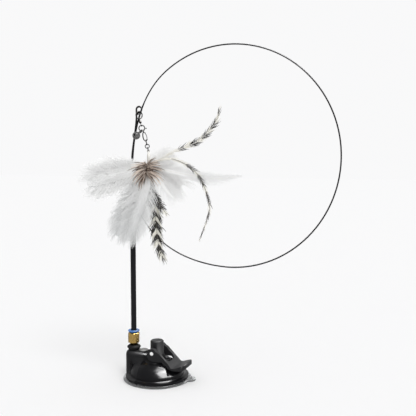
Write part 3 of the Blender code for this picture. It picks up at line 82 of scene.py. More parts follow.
# The plumes, in millimetres.
#   path: places along the quill, from the knot
#   barb, count, seed: the longest barb, the barbs on each side, and the seed of their draws
#   shade: how much painted shade greys the plume towards its tip, from 0 to 1
#   fluff, body: reach of the fluff and half the core's width, as shares of the longest barb
#   kind: the row of REACHES and LEANS, "round" unless another is named
PLUMES = {
    "plume_left": {
        "path": ((-3, 0, -0.5), (-24.4, -1.3, -5), (-48, -3, -12), (-66, -4.4, -18)),
        "barb": 33.0, "count": 330, "seed": 3, "shade": 0.18,
    },
    "plume_lower_left": {
        "path": ((-1.4, 0, -3), (-11.8, 0.4, -24.5), (-25, 0.4, -50), (-36, -0.4, -72)),
        "barb": 28.0, "count": 330, "seed": 5, "shade": 0.8, "fluff": 0.26,
    },
    "plume_lower_middle": {
        "path": ((-0.3, -1.2, -3), (-1.8, -7.7, -21.5), (-8, -8.6, -46), (-19, -8.6, -75)),
        "barb": 27.0, "count": 320, "seed": 7, "shade": 0.65,
    },
    "plume_right": {
        "path": ((3, 0.8, -1.2), (16.5, 4.2, -6.4), (29, 3.4, -13), (36, 2.8, -19)),
        "barb": 29.0, "count": 170, "seed": 11, "shade": 0.0, "body": 0.08,
    },
    "plume_far_right": {
        "path": ((3.3, -0.3, -0.7), (37, -3.6, -7.3), (75, -3.9, -12.3), (103, -4.4, -9.4)),
        "barb": 17.0, "count": 300, "seed": 13, "shade": 0.3, "kind": "tapered",
    },
    "plume_top": {
        "path": ((2, 0.5, 2.3), (7.4, 2, 7.2), (17, 2.8, 10.4), (26, 2.9, 12.2)),
        "barb": 15.0, "count": 170, "seed": 17, "shade": 0.1,
    },
    "plume_small": {
        "path": ((2.3, -0.5, -2.5), (13, -2.7, -15.3), (24, -3.8, -28), (32, -4.1, -35)),
        "barb": 16.0, "count": 120, "seed": 19, "shade": 0.25, "body": 0.12,
    },
}
# The hackles, with two more keys; here shade is the share of the quill before the first bar.
#   bands: dark bars from the quill's root to its tip
#   pale: whether the quill is pale and not dark
HACKLES = {
    "hackle_up": {
        "path": ((3, -0.2, 1.6), (26.5, -1.3, 13.8), (41.3, -1.6, 19.6), (58.3, -1.6, 26.5),
                 (71, -1.6, 38.2), (78, -1.6, 47.7), (81.2, -1.6, 60)),
        "barb": 11.0, "count": 150, "seed": 23, "bands": 7.0, "kind": "narrow",
        "shade": 0.34, "pale": True,
    },
    "hackle_right": {
        "path": ((3, -1.2, 1.2), (16.4, -6.2, 6.2), (31.5, -7.1, 7.5), (51.4, -6.9, -1.4),
                 (63, -6.9, -14.4), (71.2, -6.9, -35.6), (70.6, -6.9, -50.7),
                 (61.1, -6.9, -76)),
        "barb": 8.0, "count": 190, "seed": 29, "bands": 7.0, "kind": "narrow",
        "shade": 0.27,
    },
    "hackle_down": {
        "path": ((0.2, 0.2, -3.4), (1.4, 1.3, -20.3), (5.9, 2.6, -51.4), (9.2, 3.3, -84),
                 (14.8, 3.5, -100)),
        "barb": 15.5, "count": 300, "seed": 31, "bands": 7.5, "kind": "hanging",
        "shade": 0.1,
    },
    "hackle_short": {
        "path": ((0.9, -0.6, -3.2), (6.7, -4.3, -24.4), (15.7, -4.1, -42.3),
                 (22.2, -3.5, -51)),
        "barb": 10.0, "count": 130, "seed": 37, "bands": 1.0, "kind": "hanging",
        "shade": 0.2,
    },
}
TUFT = {
    "path": ((0.4, -5, 2), (1.2, -8.5, -3), (2.4, -10.5, -9)), "barb": 23.0, "count": 120,
    "seed": 47, "kind": "star",
}

# Shares of the longest barb, and the barbs' lean in degrees, from a quill's root to its tip
REACHES = {
    "round": ((0.0, 0.35), (0.12, 0.65), (0.35, 0.95), (0.65, 1.0), (0.85, 0.85), (1.0, 0.6)),
    "tapered": ((0.0, 0.3), (0.2, 0.7), (0.55, 1.0), (0.8, 0.6), (1.0, 0.3)),
    "narrow": ((0.0, 0.1), (0.15, 0.5), (0.4, 1.0), (0.75, 0.85), (1.0, 0.5)),
    "hanging": ((0.0, 0.12), (0.22, 0.32), (0.36, 0.85), (0.5, 1.0), (0.75, 0.75), (1.0, 0.55)),
    "star": ((0.0, 0.8), (0.5, 1.0), (1.0, 0.9)),
}
LEANS = {
    "round": ((0.0, 34.0), (0.3, 43.0), (0.75, 38.0), (0.92, 22.0), (1.0, 8.0)),
    "tapered": ((0.0, 24.0), (0.5, 24.0), (0.8, 14.0), (1.0, 4.0)),
    "narrow": ((0.0, 20.0), (0.5, 19.0), (0.9, 14.0), (1.0, 6.0)),
    "hanging": ((0.0, 8.0), (0.3, 30.0), (0.6, 34.0), (0.9, 24.0), (1.0, 8.0)),
    "star": ((0.0, 104.0), (0.5, 72.0), (1.0, 26.0)),
    "fluff": ((0.0, 40.0), (0.8, 40.0), (1.0, 14.0)),
}

# How far barbs stray: lean, spin and lift in degrees, and the most that a length loses
PLUME_STRAY = (9, 16, 5, 0.3)
FLUFF_STRAY = (12, 180, 10, 0.5)
HACKLE_STRAY = (11, 24, 6, 0.6)
TUFT_STRAY = (14, 180, 8, 0.5)

# Where a plume doesn't say it: the fluff's reach, its barbs against the plume's, and the body
FLUFF_REACH = 0.36
FLUFF_COUNT = 0.7
BODY_WIDTH = 0.24
BODY_DEPTH = 0.3 * MM

# Quills: points along each, sides, and radii
QUILL_STEPS = 48
QUILL_SIDES = 6
PLUME_ROOT = 0.45 * MM
HACKLE_ROOT = 0.5 * MM
QUILL_TIP = 0.12 * MM

# Cores: sides, rings past the quill's tip with their spacing in half widths, the length over
# which they close, the share of the quill after which the lean is held, and the lean at which
# a core has its full width
CORE_SIDES = 10
TAIL_RINGS = 3
TAIL_STEP = 0.3
TAIL_LENGTH = 3.2
HELD_SHARE = 0.75
FULL_LEAN = 36.0

# One barb of unit length: ribbon steps, the fall of its width, the width kept at its tip, and
# the share of its bow that is left at its tip
BARB_STEPS = 7
RIBBON_FALL = 0.6
RIBBON_TIP = 0.08
TIP_BOW = 0.6
# Its hairs: range of lean, their flatness, range of length, and the share lost at the tip
HAIR_LEAN = (0.35, 0.8)
HAIR_FLATNESS = 0.8
HAIR_LENGTH = (0.5, 1.0)
HAIR_FALL = 0.45

# The draws of the barb tree, as steps from a feather's seed
DRAWS = {"angle": 20, "spin": 40, "lift": 60, "length": 80, "shade": 90}
SIDE_DRAW = 10.0

# ------ the hard pieces

# The bright rings of the chain
SILVER = ("clasp_ring", "bell_ring", "bell_eye", "drop_ring", "low_ring")

# A body and two heights given for the suction disc's middle; the disc is only set in place, and
# nothing makes it follow the plunger or bend
DISC_PULL = ("plunger", 3.3 * MM, 2.4 * MM)

# How much thicker than its node a piece is made all round
RING_SWELL = 0.1 * MM
TOP_RING_SWELL = 0.16 * MM
LINK_SWELL = 0.1 * MM
SWIVEL_SWELL = 0.03 * MM

# The wire, in millimetres: its swell, what the lap adds, and where the lap starts and fades
WIRE_SWELL = 0.2
LAP_SWELL = 0.3
LAP_FOOT, LAP_RISE = 205.0, 15.0
LAP_EDGE, LAP_FADE = 15.0, 3.0

# A node's corners closer than WELD become one, and two triangles within FLAT_ANGLE of each
# other, in degrees, become one face whose corners are within SQUARE_ANGLE of square ones
WELD = 0.002 * MM
FLAT_ANGLE = 1.0
SQUARE_ANGLE = 60.0

# Round rings: steps round the ring and the wire, and the decimals that tell corners apart
RING_STEPS = 64
RING_SIDES = 16
CORNER_DECIMALS = 7

# ------ the finishes

# The housing: where the glossy dome ends, how fast dullness rises there, and the roughness
DOME_EDGE = 16.5 * MM
DULL_RISE = 500.0
GLOSS = 0.14
GLOSS_WANDER = 0.12
RIDGE_DULLNESS = 0.3

# Brass: how much darker the tarnish is
TARNISH = 0.62

# Down: painted shade at the quill's root and what its tip adds, and the contrast between strands
ROOT_PAINTED_SHADE = 0.35
TIP_PAINTED_SHADE = 0.8
STRAND_CONTRAST = 0.25

# Hackles: the pale share of each band, how ragged a bar is, and the quill's hidden share
PALE_SHARE = 0.42
BAR_BLUR = 0.25
HIDDEN_SHARE = 0.27

# The tuft: how much darker a barb's end is, how much some barbs are, and where dark starts
END_DARKENING = 0.3
STRAND_DARKENING = 2.2
DARK_START = 0.7

# ------ the stage

# The floor lies just under the object
FLOOR_DROP = 0.05 * MM
PAPER = (0.9, 0.9, 0.905)
BACKDROP = (0.945, 0.945, 0.95, 1.0)
WHITE = (1.0, 1.0, 1.0, 1.0)

# Soft boxes that only gloss shows, with the pieces that they light or leave out
BOX_TARGET = (0.047, -0.023, 0.014)
SOFT_BOXES = {
    "top_box": {
        "place": (0.35, 0.02, 0.97), "size": (0.7, 0.7), "energy": 90.0,
        "pieces": ("suction_disc", "bell_shell", *SILVER), "state": "EXCLUDE",
    },
    "side_box": {
        "place": (0.7, -0.33, 0.66), "size": (0.9, 1.0), "energy": 280.0,
        "pieces": ("housing",), "state": "INCLUDE",
    },
}
SUN_WAY = (-0.45, 0.4, -0.8)
SUN_SOFTNESS = 30.0

# The camera: place, degrees below the horizon, degrees round to the right, sensor in millimetres
CAMERA_PLACE = (0.3234, -0.645, 0.248)
CAMERA_DIP = 4.7
CAMERA_TURN = 20.0
SENSOR_WIDTH = 36.0


# ------ node trees


class Value:
    """A socket in a node tree, with the arithmetic that a Math node does."""

    def __init__(self, tree, socket):
        self.tree = tree
        self.socket = socket

    def math(self, operation, *others):
        return self.tree.add("ShaderNodeMath", {"operation": operation},
                             dict(enumerate((self, *others))))

    def __add__(self, other):
        return self.math("ADD", other)

    def __sub__(self, other):
        return self.math("SUBTRACT", other)

    def __rsub__(self, other):
        return (self * -1.0).math("ADD", other)

    def __mul__(self, other):
        return self.math("MULTIPLY", other)

    def __gt__(self, other):
        return self.math("GREATER_THAN", other)

    def fraction(self):
        return self.math("FRACT")

    def clamped(self):
        return self.math("MAXIMUM", 0.0).math("MINIMUM", 1.0)


class Tree:
    """A shader or geometry tree: one method adds any node, with settings and inputs."""

    def __init__(self, node_tree):
        self.node_tree = node_tree

    def add(self, kind, settings=None, inputs=None, output=0):
        node = self.node_tree.nodes.new(kind)
        for name, value in (settings or {}).items():
            setattr(node, name, value)
        for key, value in (inputs or {}).items():
            self.feed(node, key, value)
        socket = node.outputs[output] if isinstance(output, int) else next(
            item for item in node.outputs if item.identifier == output or item.name == output
        )
        return Value(self, socket)

    def feed(self, node, key, value):
        """Links a value to an input, or sets it; the key is an index, identifier or name."""
        if isinstance(key, int):
            socket = node.inputs[key]
        else:
            found = [item for item in node.inputs if item.identifier == key]
            socket = found[0] if found else node.inputs[key]
        if isinstance(value, Value):
            self.node_tree.links.new(value.socket, socket)
        else:
            socket.default_value = value


# ------ finishes


def opaque(tone):
    """A colour with its alpha; a socket is passed on as it is."""
    return tone if isinstance(tone, Value) else (*tone, 1.0)


class Finish(Tree):
    """A material around one Principled shader; what isn't given here is linked later."""

    def __init__(self, name, tone=None, roughness=None, **constants):
        self.material = bpy.data.materials.new(name)
        self.material.use_nodes = True
        super().__init__(self.material.node_tree)
        self.shader = self.node_tree.nodes["Principled BSDF"]
        if tone is not None:
            self.set("Base Color", opaque(tone))
        if roughness is not None:
            self.set("Roughness", roughness)
        for key, value in constants.items():
            self.set(key.replace("_", " "), value)

    def set(self, key, value):
        self.feed(self.shader, key, value)

    def place(self):
        return self.add("ShaderNodeTexCoord", output="Object")

    def noise(self, scale, detail=3.0):
        return self.add("ShaderNodeTexNoise", {},
                        {"Vector": self.place(), "Scale": scale, "Detail": detail})

    def attribute(self, name):
        return self.add("ShaderNodeAttribute", {"attribute_name": name}, output="Fac")

    def mix(self, factor, first, second):
        return self.add(
            "ShaderNodeMix", {"data_type": "RGBA"},
            {"Factor_Float": factor, "A_Color": opaque(first), "B_Color": opaque(second)},
            output="Result_Color",
        )

    def paint(self, factor, first, second):
        """Base colour between two, by a factor."""
        self.set("Base Color", self.mix(factor, first, second))

    def mottle(self, first, second, scale, detail=3.0):
        """Base colour that wanders between two over the surface."""
        self.paint(self.noise(scale, detail), first, second)

    def scuff(self, scale, low, high):
        """Roughness that wanders between two values over the surface."""
        self.set("Roughness", self.noise(scale) * (high - low) + low)

    def grain(self, scale, distance, strength, detail=2.0):
        """A fine bump all over the surface."""
        self.set("Normal", self.add(
            "ShaderNodeBump", {},
            {"Height": self.noise(scale, detail), "Distance": distance, "Strength": strength},
            output="Normal",
        ))


def glossy_black(settings):
    """Gloss on the dome, duller on the ridge and the boss."""
    finish = Finish("glossy_black", settings.housing_colour, Specular_IOR_Level=0.08)
    across = finish.add("ShaderNodeSeparateXYZ", {}, {"Vector": finish.place()})
    dull = ((DOME_EDGE - across) * DULL_RISE).clamped()
    finish.set("Roughness", finish.noise(220.0) * GLOSS_WANDER + dull * RIDGE_DULLNESS + GLOSS)
    return finish.material


def satin_black(settings):
    finish = Finish("satin_black", settings.lever_colour, Specular_IOR_Level=0.15)
    finish.scuff(scale=300.0, low=0.42, high=0.58)
    finish.grain(scale=1100.0, distance=0.08 * MM, strength=0.6)
    return finish.material


def plug_grey():
    finish = Finish("plug_grey", (0.1, 0.1, 0.1), 0.6)
    finish.grain(scale=1500.0, distance=0.2 * MM, strength=0.8, detail=4.0)
    return finish.material


def clear_vinyl():
    finish = Finish("clear_vinyl", (0.93, 0.95, 0.95), Transmission_Weight=0.93, IOR=1.4,
                    Specular_IOR_Level=0.5)
    finish.scuff(scale=90.0, low=0.05, high=0.15)
    return finish.material


def rubber_black():
    finish = Finish("rubber_black", (0.014, 0.014, 0.014), Specular_IOR_Level=0.04)
    finish.scuff(scale=400.0, low=0.5, high=0.7)
    return finish.material


def machined_brass(settings):
    finish = Finish("machined_brass", Metallic=1.0)
    tarnished = [part * TARNISH for part in settings.brass_colour]
    finish.mottle(settings.brass_colour, tarnished, scale=350.0, detail=4.0)
    finish.scuff(scale=500.0, low=0.2, high=0.36)
    return finish.material


def collar_blue(settings):
    finish = Finish("collar_blue", settings.collar_colour, Specular_IOR_Level=0.15)
    finish.scuff(scale=400.0, low=0.28, high=0.42)
    return finish.material


def tube_black():
    finish = Finish("tube_black", (0.011, 0.011, 0.013), Specular_IOR_Level=0.06)
    finish.scuff(scale=150.0, low=0.3, high=0.45)
    return finish.material


def spring_steel():
    finish = Finish("spring_steel", (0.01, 0.01, 0.011), Specular_IOR_Level=0.1)
    finish.scuff(scale=250.0, low=0.28, high=0.42)
    return finish.material


def bright_steel():
    finish = Finish("bright_steel", Metallic=1.0)
    finish.mottle((0.26, 0.26, 0.26), (0.02, 0.02, 0.019), scale=900.0)
    finish.scuff(scale=600.0, low=0.12, high=0.3)
    return finish.material


def worn_steel():
    finish = Finish("worn_steel", Metallic=1.0)
    finish.mottle((0.04, 0.039, 0.037), (0.006, 0.005, 0.005), scale=700.0, detail=4.0)
    finish.scuff(scale=600.0, low=0.22, high=0.45)
    return finish.material


def pin_end():
    finish = Finish("pin_end", roughness=0.25, Metallic=0.3)
    finish.mottle((0.95, 0.95, 0.95), (0.8, 0.8, 0.8), scale=400.0)
    return finish.material


def white_thread():
    finish = Finish("white_thread", (0.6, 0.58, 0.54), 0.7)
    finish.grain(scale=2500.0, distance=0.3 * MM, strength=1.0)
    return finish.material


def white_down(settings):
    """Down: white, with painted shade that greys it towards the quill's tip, and a tone that
    differs from strand to strand.
    """
    finish = Finish("white_down", roughness=0.8, Specular_IOR_Level=0.2, Sheen_Weight=0.35,
                    Sheen_Roughness=0.6)
    strand = (finish.attribute("shade") - 0.5) * STRAND_CONTRAST
    rise = finish.attribute("along") * TIP_PAINTED_SHADE + ROOT_PAINTED_SHADE
    # The grey is painted shade towards the tip plus a random tone from strand to strand
    grey = (finish.attribute("tone") * rise + strand).clamped()
    finish.paint(grey, settings.down_colour, settings.down_painted_shade)
    return finish.material


def barred_barbs(settings):
    """Dark bars across a pale hackle, broken up from barb to barb."""
    finish = Finish("barred_barbs", roughness=0.6, Specular_IOR_Level=0.3)
    place = finish.attribute("band") + finish.attribute("shade") * BAR_BLUR
    barred = finish.attribute("along") > finish.attribute("tone")
    finish.paint((place.fraction() > PALE_SHARE) * barred, settings.hackle_pale,
                 settings.hackle_dark)
    return finish.material


def brown_barbs(settings):
    """Pale brown barbs, of which some are dark, most of all at their ends."""
    finish = Finish("brown_barbs", roughness=0.7, Specular_IOR_Level=0.2)
    darkening = (finish.attribute("reach") * END_DARKENING
                 + finish.attribute("shade") * STRAND_DARKENING)
    finish.paint((darkening - DARK_START).clamped(), settings.tuft_colour, settings.tuft_tip)
    return finish.material


def dark_quill(settings):
    """Pale where the plumes hide the root, then dark."""
    finish = Finish("dark_quill", roughness=0.5)
    grain = finish.mix(finish.noise(150.0), settings.hackle_dark, (0.2, 0.18, 0.15))
    finish.paint(finish.attribute("along") > HIDDEN_SHARE, settings.hackle_pale, grain)
    return finish.material


def pale_quill():
    finish = Finish("pale_quill", roughness=0.5)
    finish.mottle((0.88, 0.87, 0.84), (0.72, 0.7, 0.65), scale=150.0)
    return finish.material


# ------ meshes


def link(name, mesh, material, body, replaces=(), drawn_by=None):
    """A finished piece: named, dressed, tied to its body and standing for its CAD nodes.

    Where drawn_by is given, the piece is only set in its place in the world and tied to no body;
    what drawn_by holds is not used.
    """
    piece = bpy.data.objects.new(name, mesh)
    bpy.context.scene.collection.objects.link(piece)
    mesh.materials.clear()
    mesh.materials.append(material)
    if drawn_by:
        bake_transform(piece)
    else:
        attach(piece, body)
    if replaces:
        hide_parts(*replaces)


def store(mesh, key, values):
    """Writes one number on each point of a mesh."""
    mesh.attributes.new(key, "FLOAT", "POINT").data.foreach_set("value", values)


def smooth_mesh(name, bm):
    mesh = bpy.data.meshes.new(name)
    bm.to_mesh(mesh)
    bm.free()
    mesh.shade_smooth()
    return mesh


def oval(middle, side, width, up, depth, sides):
    """Points round an oval with these two half axes."""
    turns = [math.tau * k / sides for k in range(sides)]
    return [middle + side * (width * math.cos(turn)) + up * (depth * math.sin(turn))
            for turn in turns]


def ringed_mesh(name, rings, closed=False):
    """A smooth skin over rings of points, capped at its ends unless it closes on itself."""
    bm = bmesh.new()
    rows = [[bm.verts.new(point) for point in ring] for ring in rings]
    for row, after in zip(rows, rows[1:] + (rows[:1] if closed else [])):
        for k in range(len(row)):
            beyond = (k + 1) % len(row)
            bm.faces.new((row[k], row[beyond], after[beyond], after[k]))
    if not closed:
        bm.faces.new(rows[0])
        bm.faces.new(rows[-1])
    bmesh.ops.recalc_face_normals(bm, faces=bm.faces)
    return smooth_mesh(name, bm)


def merged_copy(node, angle, swell):
    """A node's mesh with its corners joined, a hair thicker, and smooth round faces."""
    bm = bmesh.new()
    bm.from_mesh(frame["nodes"][node].data)
    bmesh.ops.remove_doubles(bm, verts=bm.verts, dist=WELD)
    bmesh.ops.join_triangles(bm, faces=bm.faces,
                             angle_face_threshold=math.radians(FLAT_ANGLE),
                             angle_shape_threshold=math.radians(SQUARE_ANGLE))
    bm.normal_update()
    for vertex in bm.verts:
        vertex.co += vertex.normal * (swell(vertex.co) if callable(swell) else swell)
    mesh = smooth_mesh(node, bm)
    mesh.set_sharp_from_angle(angle=math.radians(angle))
    return mesh


def lap_swell(place):
    """A hair more on the hoop, and more where the wire's end lies along it."""
    up = min(max((place.z / MM - LAP_FOOT) / LAP_RISE, 0.0), 1.0)
    left = min(max((LAP_EDGE - place.x / MM) / LAP_FADE, 0.0), 1.0)
    return (WIRE_SWELL + LAP_SWELL * up * left) * MM


def round_ring(node, swell):
    """A fine round ring that fills the place of a node that is a coarse one."""
    corners = np.unique(np.round(
        [vertex.co for vertex in frame["nodes"][node].data.vertices], CORNER_DECIMALS), axis=0)
    middle = (corners.min(0) + corners.max(0)) / 2
    spread = corners - middle
    across, along, normal = np.linalg.svd(spread, full_matrices=False)[2]
    distance = np.hypot(spread @ across, spread @ along)
    radius = (distance.max() + distance.min()) / 2
    wire = (distance.max() - distance.min()) / 2 + swell
    rings = []
    for step in range(RING_STEPS):
        turn = math.tau * step / RING_STEPS
        out = across * math.cos(turn) + along * math.sin(turn)
        rings.append(oval(middle + out * radius, out, wire, normal, wire, RING_SIDES))
    return ringed_mesh(node, rings, closed=True)


def dress(node, material, angle=35.0, ring=False, swell=0.0, drawn_by=None):
    """Puts a smooth copy in place of a node, on the node's own body.

    Edges sharper than the angle, in degrees, stay sharp.
    """
    body = frame["nodes"][node]["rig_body"]
    mesh = round_ring(node, swell) if ring else merged_copy(node, angle, swell)
    link(node + "_finish", mesh, material, body, (node,), drawn_by)


# ------ feathers


def smooth_point(places, share):
    """The point at a share of a smooth curve through the places."""
    last = len(places) - 1
    position = min(max(share, 0.0), 1.0) * last
    index = min(int(position), last - 1)
    t = position - index
    before, start = places[max(index - 1, 0)], places[index]
    end, after = places[index + 1], places[min(index + 2, last)]
    return 0.5 * (
        2 * start + (end - before) * t + (2 * before - 5 * start + 4 * end - after) * t * t
        + (3 * start - before - 3 * end + after) * t ** 3
    )


def table_value(table, share):
    return float(np.interp(share, [row[0] for row in table], [row[1] for row in table]))


def quill_host(name, form, lean_kind):
    """A line of points along the quill, with the barbs' reach and lean as attributes."""
    kind = form.get("kind", "round")
    places = [KNOT + Vector(place) * MM for place in form["path"]]
    shares = [step / QUILL_STEPS for step in range(QUILL_STEPS + 1)]
    points = [smooth_point(places, share) for share in shares]
    mesh = bpy.data.meshes.new(name)
    mesh.from_pydata(points, [(k, k + 1) for k in range(QUILL_STEPS)], [])
    store(mesh, "length", [table_value(REACHES[kind], share) for share in shares])
    store(mesh, "lean", [table_value(LEANS[lean_kind or kind], share) for share in shares])
    host = bpy.data.objects.new(name, mesh)
    bpy.context.scene.collection.objects.link(host)
    return host, points


def quill_mesh(name, points, root):
    """A thin tapered round quill along the points."""
    last = len(points) - 1
    rings = []
    for index, point in enumerate(points):
        radius = root + (QUILL_TIP - root) * (index / last)
        along = points[min(index + 1, last)] - points[max(index - 1, 0)]
        along.normalize()
        side = along.cross(FACE).normalized()
        rings.append(oval(point, side, radius, side.cross(along), radius, QUILL_SIDES))
    mesh = ringed_mesh(name, rings)
    shares = np.linspace(0.0, 1.0, len(points), dtype=np.float32)
    store(mesh, "along", np.repeat(shares, QUILL_SIDES))
    return mesh


def core_mesh(name, points, form, half_width):
    """A thin soft body inside the barbs, so that nothing behind a plume shows through."""
    kind = form.get("kind", "round")
    last = len(points) - 1
    ahead = (points[last] - points[last - 1]).normalized()
    longer = list(points) + [points[last] + ahead * (half_width * TAIL_STEP * k)
                             for k in range(1, TAIL_RINGS + 1)]
    rings = []
    for index, point in enumerate(longer):
        share = min(index / last, 1.0)
        past = max(index - last, 0) / TAIL_LENGTH
        along = longer[min(index + 1, len(longer) - 1)] - longer[max(index - 1, 0)]
        side = along.cross(FACE).normalized()
        up = side.cross(along).normalized()
        lean = math.radians(table_value(LEANS[kind], min(share, HELD_SHARE)))
        spread = table_value(REACHES[kind], share) * math.sin(lean) * math.sqrt(1 - past ** 2)
        width = half_width * spread / math.sin(math.radians(FULL_LEAN))
        rings.append(oval(point, side, width, up, BODY_DEPTH * min(spread * 2, 1), CORE_SIDES))
    mesh = ringed_mesh(name, rings)
    count = len(longer)
    # The core takes its plume's painted shade, with a middle strand tone that adds nothing
    for key, values in (
            ("along", [min(row / last, 1.0) for row in range(count)]),
            ("shade", [0.5] * count), ("tone", [form["shade"]] * count)):
        store(mesh, key, np.repeat(values, CORE_SIDES).astype(np.float32))
    return mesh


def barb_template(name, ribbon, hairs, hair_length, hair_width, bow, seed):
    """One barb of unit length along X: a thin ribbon, with fine hairs all round."""
    draw = np.random.default_rng(seed)
    verts, faces, reach = [], [], []

    def core(x):
        return np.array((x, bow * (x - x * x) * 4 + bow * TIP_BOW * x * x, 0.0))

    for k in range(BARB_STEPS + 1):
        x = k / BARB_STEPS
        half = ribbon / 2 * (1 - x) ** RIBBON_FALL + ribbon * RIBBON_TIP
        for side in (-1, 1):
            verts.append(core(x) + (0.0, side * half, 0.0))
            reach.append(x)
    for first in range(0, 2 * BARB_STEPS, 2):
        faces.append((first, first + 2, first + 3, first + 1))
    for k in range(hairs):
        x = (k + draw.random()) / hairs
        turn = draw.uniform(0, math.tau)
        lean = draw.uniform(*HAIR_LEAN)
        way = np.array((lean, math.cos(turn), math.sin(turn) * HAIR_FLATNESS))
        way /= np.linalg.norm(way)
        size = hair_length * draw.uniform(*HAIR_LENGTH) * (1 - HAIR_FALL * x)
        # Any axis that the hair doesn't run along gives its width a direction
        across = np.cross(way, (0.0, 0.0, 1.0) if abs(way[2]) < 0.7 else (0.0, 1.0, 0.0))
        across *= hair_width / 2 / np.linalg.norm(across)
        base = core(x)
        first = len(verts)
        verts += [base - across, base + across, base + way * size]
        reach += [x, x, x]
        faces.append((first, first + 1, first + 2))
    mesh = bpy.data.meshes.new(name)
    mesh.from_pydata([tuple(v) for v in verts], [], faces)
    store(mesh, "reach", reach)
    template = bpy.data.objects.new(name, mesh)
    bpy.context.scene.collection.objects.link(template)
    return template


BARB_INPUTS = (
    ("Barb", "NodeSocketObject"), ("Count", "NodeSocketInt"), ("Length", "NodeSocketFloat"),
    ("Angle Spread", "NodeSocketFloat"), ("Spin Spread", "NodeSocketFloat"),
    ("Lift Spread", "NodeSocketFloat"), ("Length Spread", "NodeSocketFloat"),
    ("Face", "NodeSocketVector"), ("Bands", "NodeSocketFloat"), ("Tone", "NodeSocketFloat"),
    ("Seed", "NodeSocketInt"), ("Material", "NodeSocketMaterial"),
)


def barb_nodes():
    """The tree that sets barbs on both sides of a quill."""
    group = bpy.data.node_groups.new("barbs_on_quill", "GeometryNodeTree")
    group.interface.new_socket("Geometry", in_out="INPUT", socket_type="NodeSocketGeometry")
    for name, kind in BARB_INPUTS:
        group.interface.new_socket(name, in_out="INPUT", socket_type=kind)
    group.interface.new_socket("Geometry", in_out="OUTPUT", socket_type="NodeSocketGeometry")
    tree = Tree(group)
    source = group.nodes.new("NodeGroupInput")

    def given(name):
        return Value(tree, source.outputs[name])

    def named(name):
        return tree.add("GeometryNodeInputNamedAttribute", {"data_type": "FLOAT"},
                        {"Name": name})

    def chance(offset, low, high):
        return tree.add(
            "FunctionNodeRandomValue", {"data_type": "FLOAT"},
            {"Min_001": low, "Max_001": high, "Seed": given("Seed") + float(offset)},
            output="Value_001",
        )

    line = tree.add("GeometryNodeMeshToCurve", {}, {0: given("Geometry")})
    points = tree.add("GeometryNodeResampleCurve", {"mode": "COUNT"},
                      {"Curve": line, "Count": given("Count")})
    share = tree.add("GeometryNodeSplineParameter", output="Factor")
    tangent = tree.add("GeometryNodeInputTangent")
    reach, lean = named("length"), named("lean")
    for name, value in (("along", share), ("band", share * given("Bands")),
                        ("tone", given("Tone")),
                        ("shade", chance(DRAWS["shade"], 0.0, 1.0))):
        points = tree.add("GeometryNodeStoreNamedAttribute",
                          {"data_type": "FLOAT", "domain": "POINT"},
                          {"Geometry": points, "Name": name, "Value": value})
    frame_turn = tree.add(
        "FunctionNodeAxesToRotation", {"primary_axis": "Z", "secondary_axis": "X"},
        {"Primary Axis": given("Face"), "Secondary Axis": tangent},
    )
    template = tree.add("GeometryNodeObjectInfo", {}, {"Object": given("Barb")},
                        output="Geometry")
    join = group.nodes.new("GeometryNodeJoinGeometry")
    for side in (1.0, -1.0):
        offset = SIDE_DRAW * side
        angle = lean * math.radians(1) + given("Angle Spread") * chance(
            DRAWS["angle"] + offset, -1.0, 1.0)
        spin = given("Spin Spread") * chance(DRAWS["spin"] + offset, -1.0, 1.0)
        lift = given("Lift Spread") * chance(DRAWS["lift"] + offset, -1.0, 1.0)
        outer = tree.add("ShaderNodeCombineXYZ", {}, {0: spin})
        inner = tree.add("ShaderNodeCombineXYZ", {}, {1: lift, 2: angle * side})
        turn = frame_turn
        for euler in (outer, inner):
            step = tree.add("FunctionNodeEulerToRotation", {}, {0: euler})
            turn = tree.add("FunctionNodeRotateRotation", {"rotation_space": "LOCAL"},
                            {0: turn, 1: step})
        lost = given("Length Spread") * chance(DRAWS["length"] + offset, 0.0, 1.0)
        size = given("Length") * reach * (1.0 - lost)
        scale = tree.add("ShaderNodeCombineXYZ", {}, {0: size, 1: size * side, 2: size})
        barbs = tree.add(
            "GeometryNodeInstanceOnPoints", {},
            {"Points": points, "Instance": template, "Rotation": turn, "Scale": scale},
        )
        group.links.new(barbs.socket, join.inputs[0])
    real = tree.add("GeometryNodeRealizeInstances", {}, {0: Value(tree, join.outputs[0])})
    done = tree.add("GeometryNodeSetMaterial", {},
                    {"Geometry": real, "Material": given("Material")})
    sink = group.nodes.new("NodeGroupOutput")
    group.links.new(done.socket, sink.inputs[0])
    return group


def grow_barbs(host, values):
    """Runs the barb tree on a host line, removes the line and returns the plain mesh."""
    group = bpy.data.node_groups.get("barbs_on_quill") or barb_nodes()
    step = host.modifiers.new("barbs", "NODES")
    step.node_group = group
    names = {item.name: item.identifier for item in group.interface.items_tree
             if item.item_type == "SOCKET" and item.in_out == "INPUT"}
    for name, value in values.items():
        step[names[name]] = value
    graph = bpy.context.evaluated_depsgraph_get()
    mesh = bpy.data.meshes.new_from_object(host.evaluated_get(graph))
    host.modifiers.remove(step)
    bpy.data.objects.remove(host)
    return mesh


def barb_mesh(name, form, template, look, stray, lean_kind="", count=1.0, length=1.0):
    """Barbs along both sides of a feather's quill, with the quill's own points.

    The count and the length are shares of those in the feather's form.
    """
    host, points = quill_host(name + "_line", form, lean_kind)
    angle, spin, lift, uneven = stray
    mesh = grow_barbs(host, {
        "Barb": template, "Count": round(form["count"] * count),
        "Length": form["barb"] * length * MM, "Angle Spread": math.radians(angle),
        "Spin Spread": math.radians(spin), "Lift Spread": math.radians(lift),
        "Length Spread": uneven, "Face": tuple(FACE),
        # For a plume the tone is how much painted shade greys it; for a hackle, where its bars
        # start
        "Bands": form.get("bands", 1.0), "Tone": form.get("shade", 0.0),
        "Seed": form["seed"], "Material": look,
    })
    return mesh, points


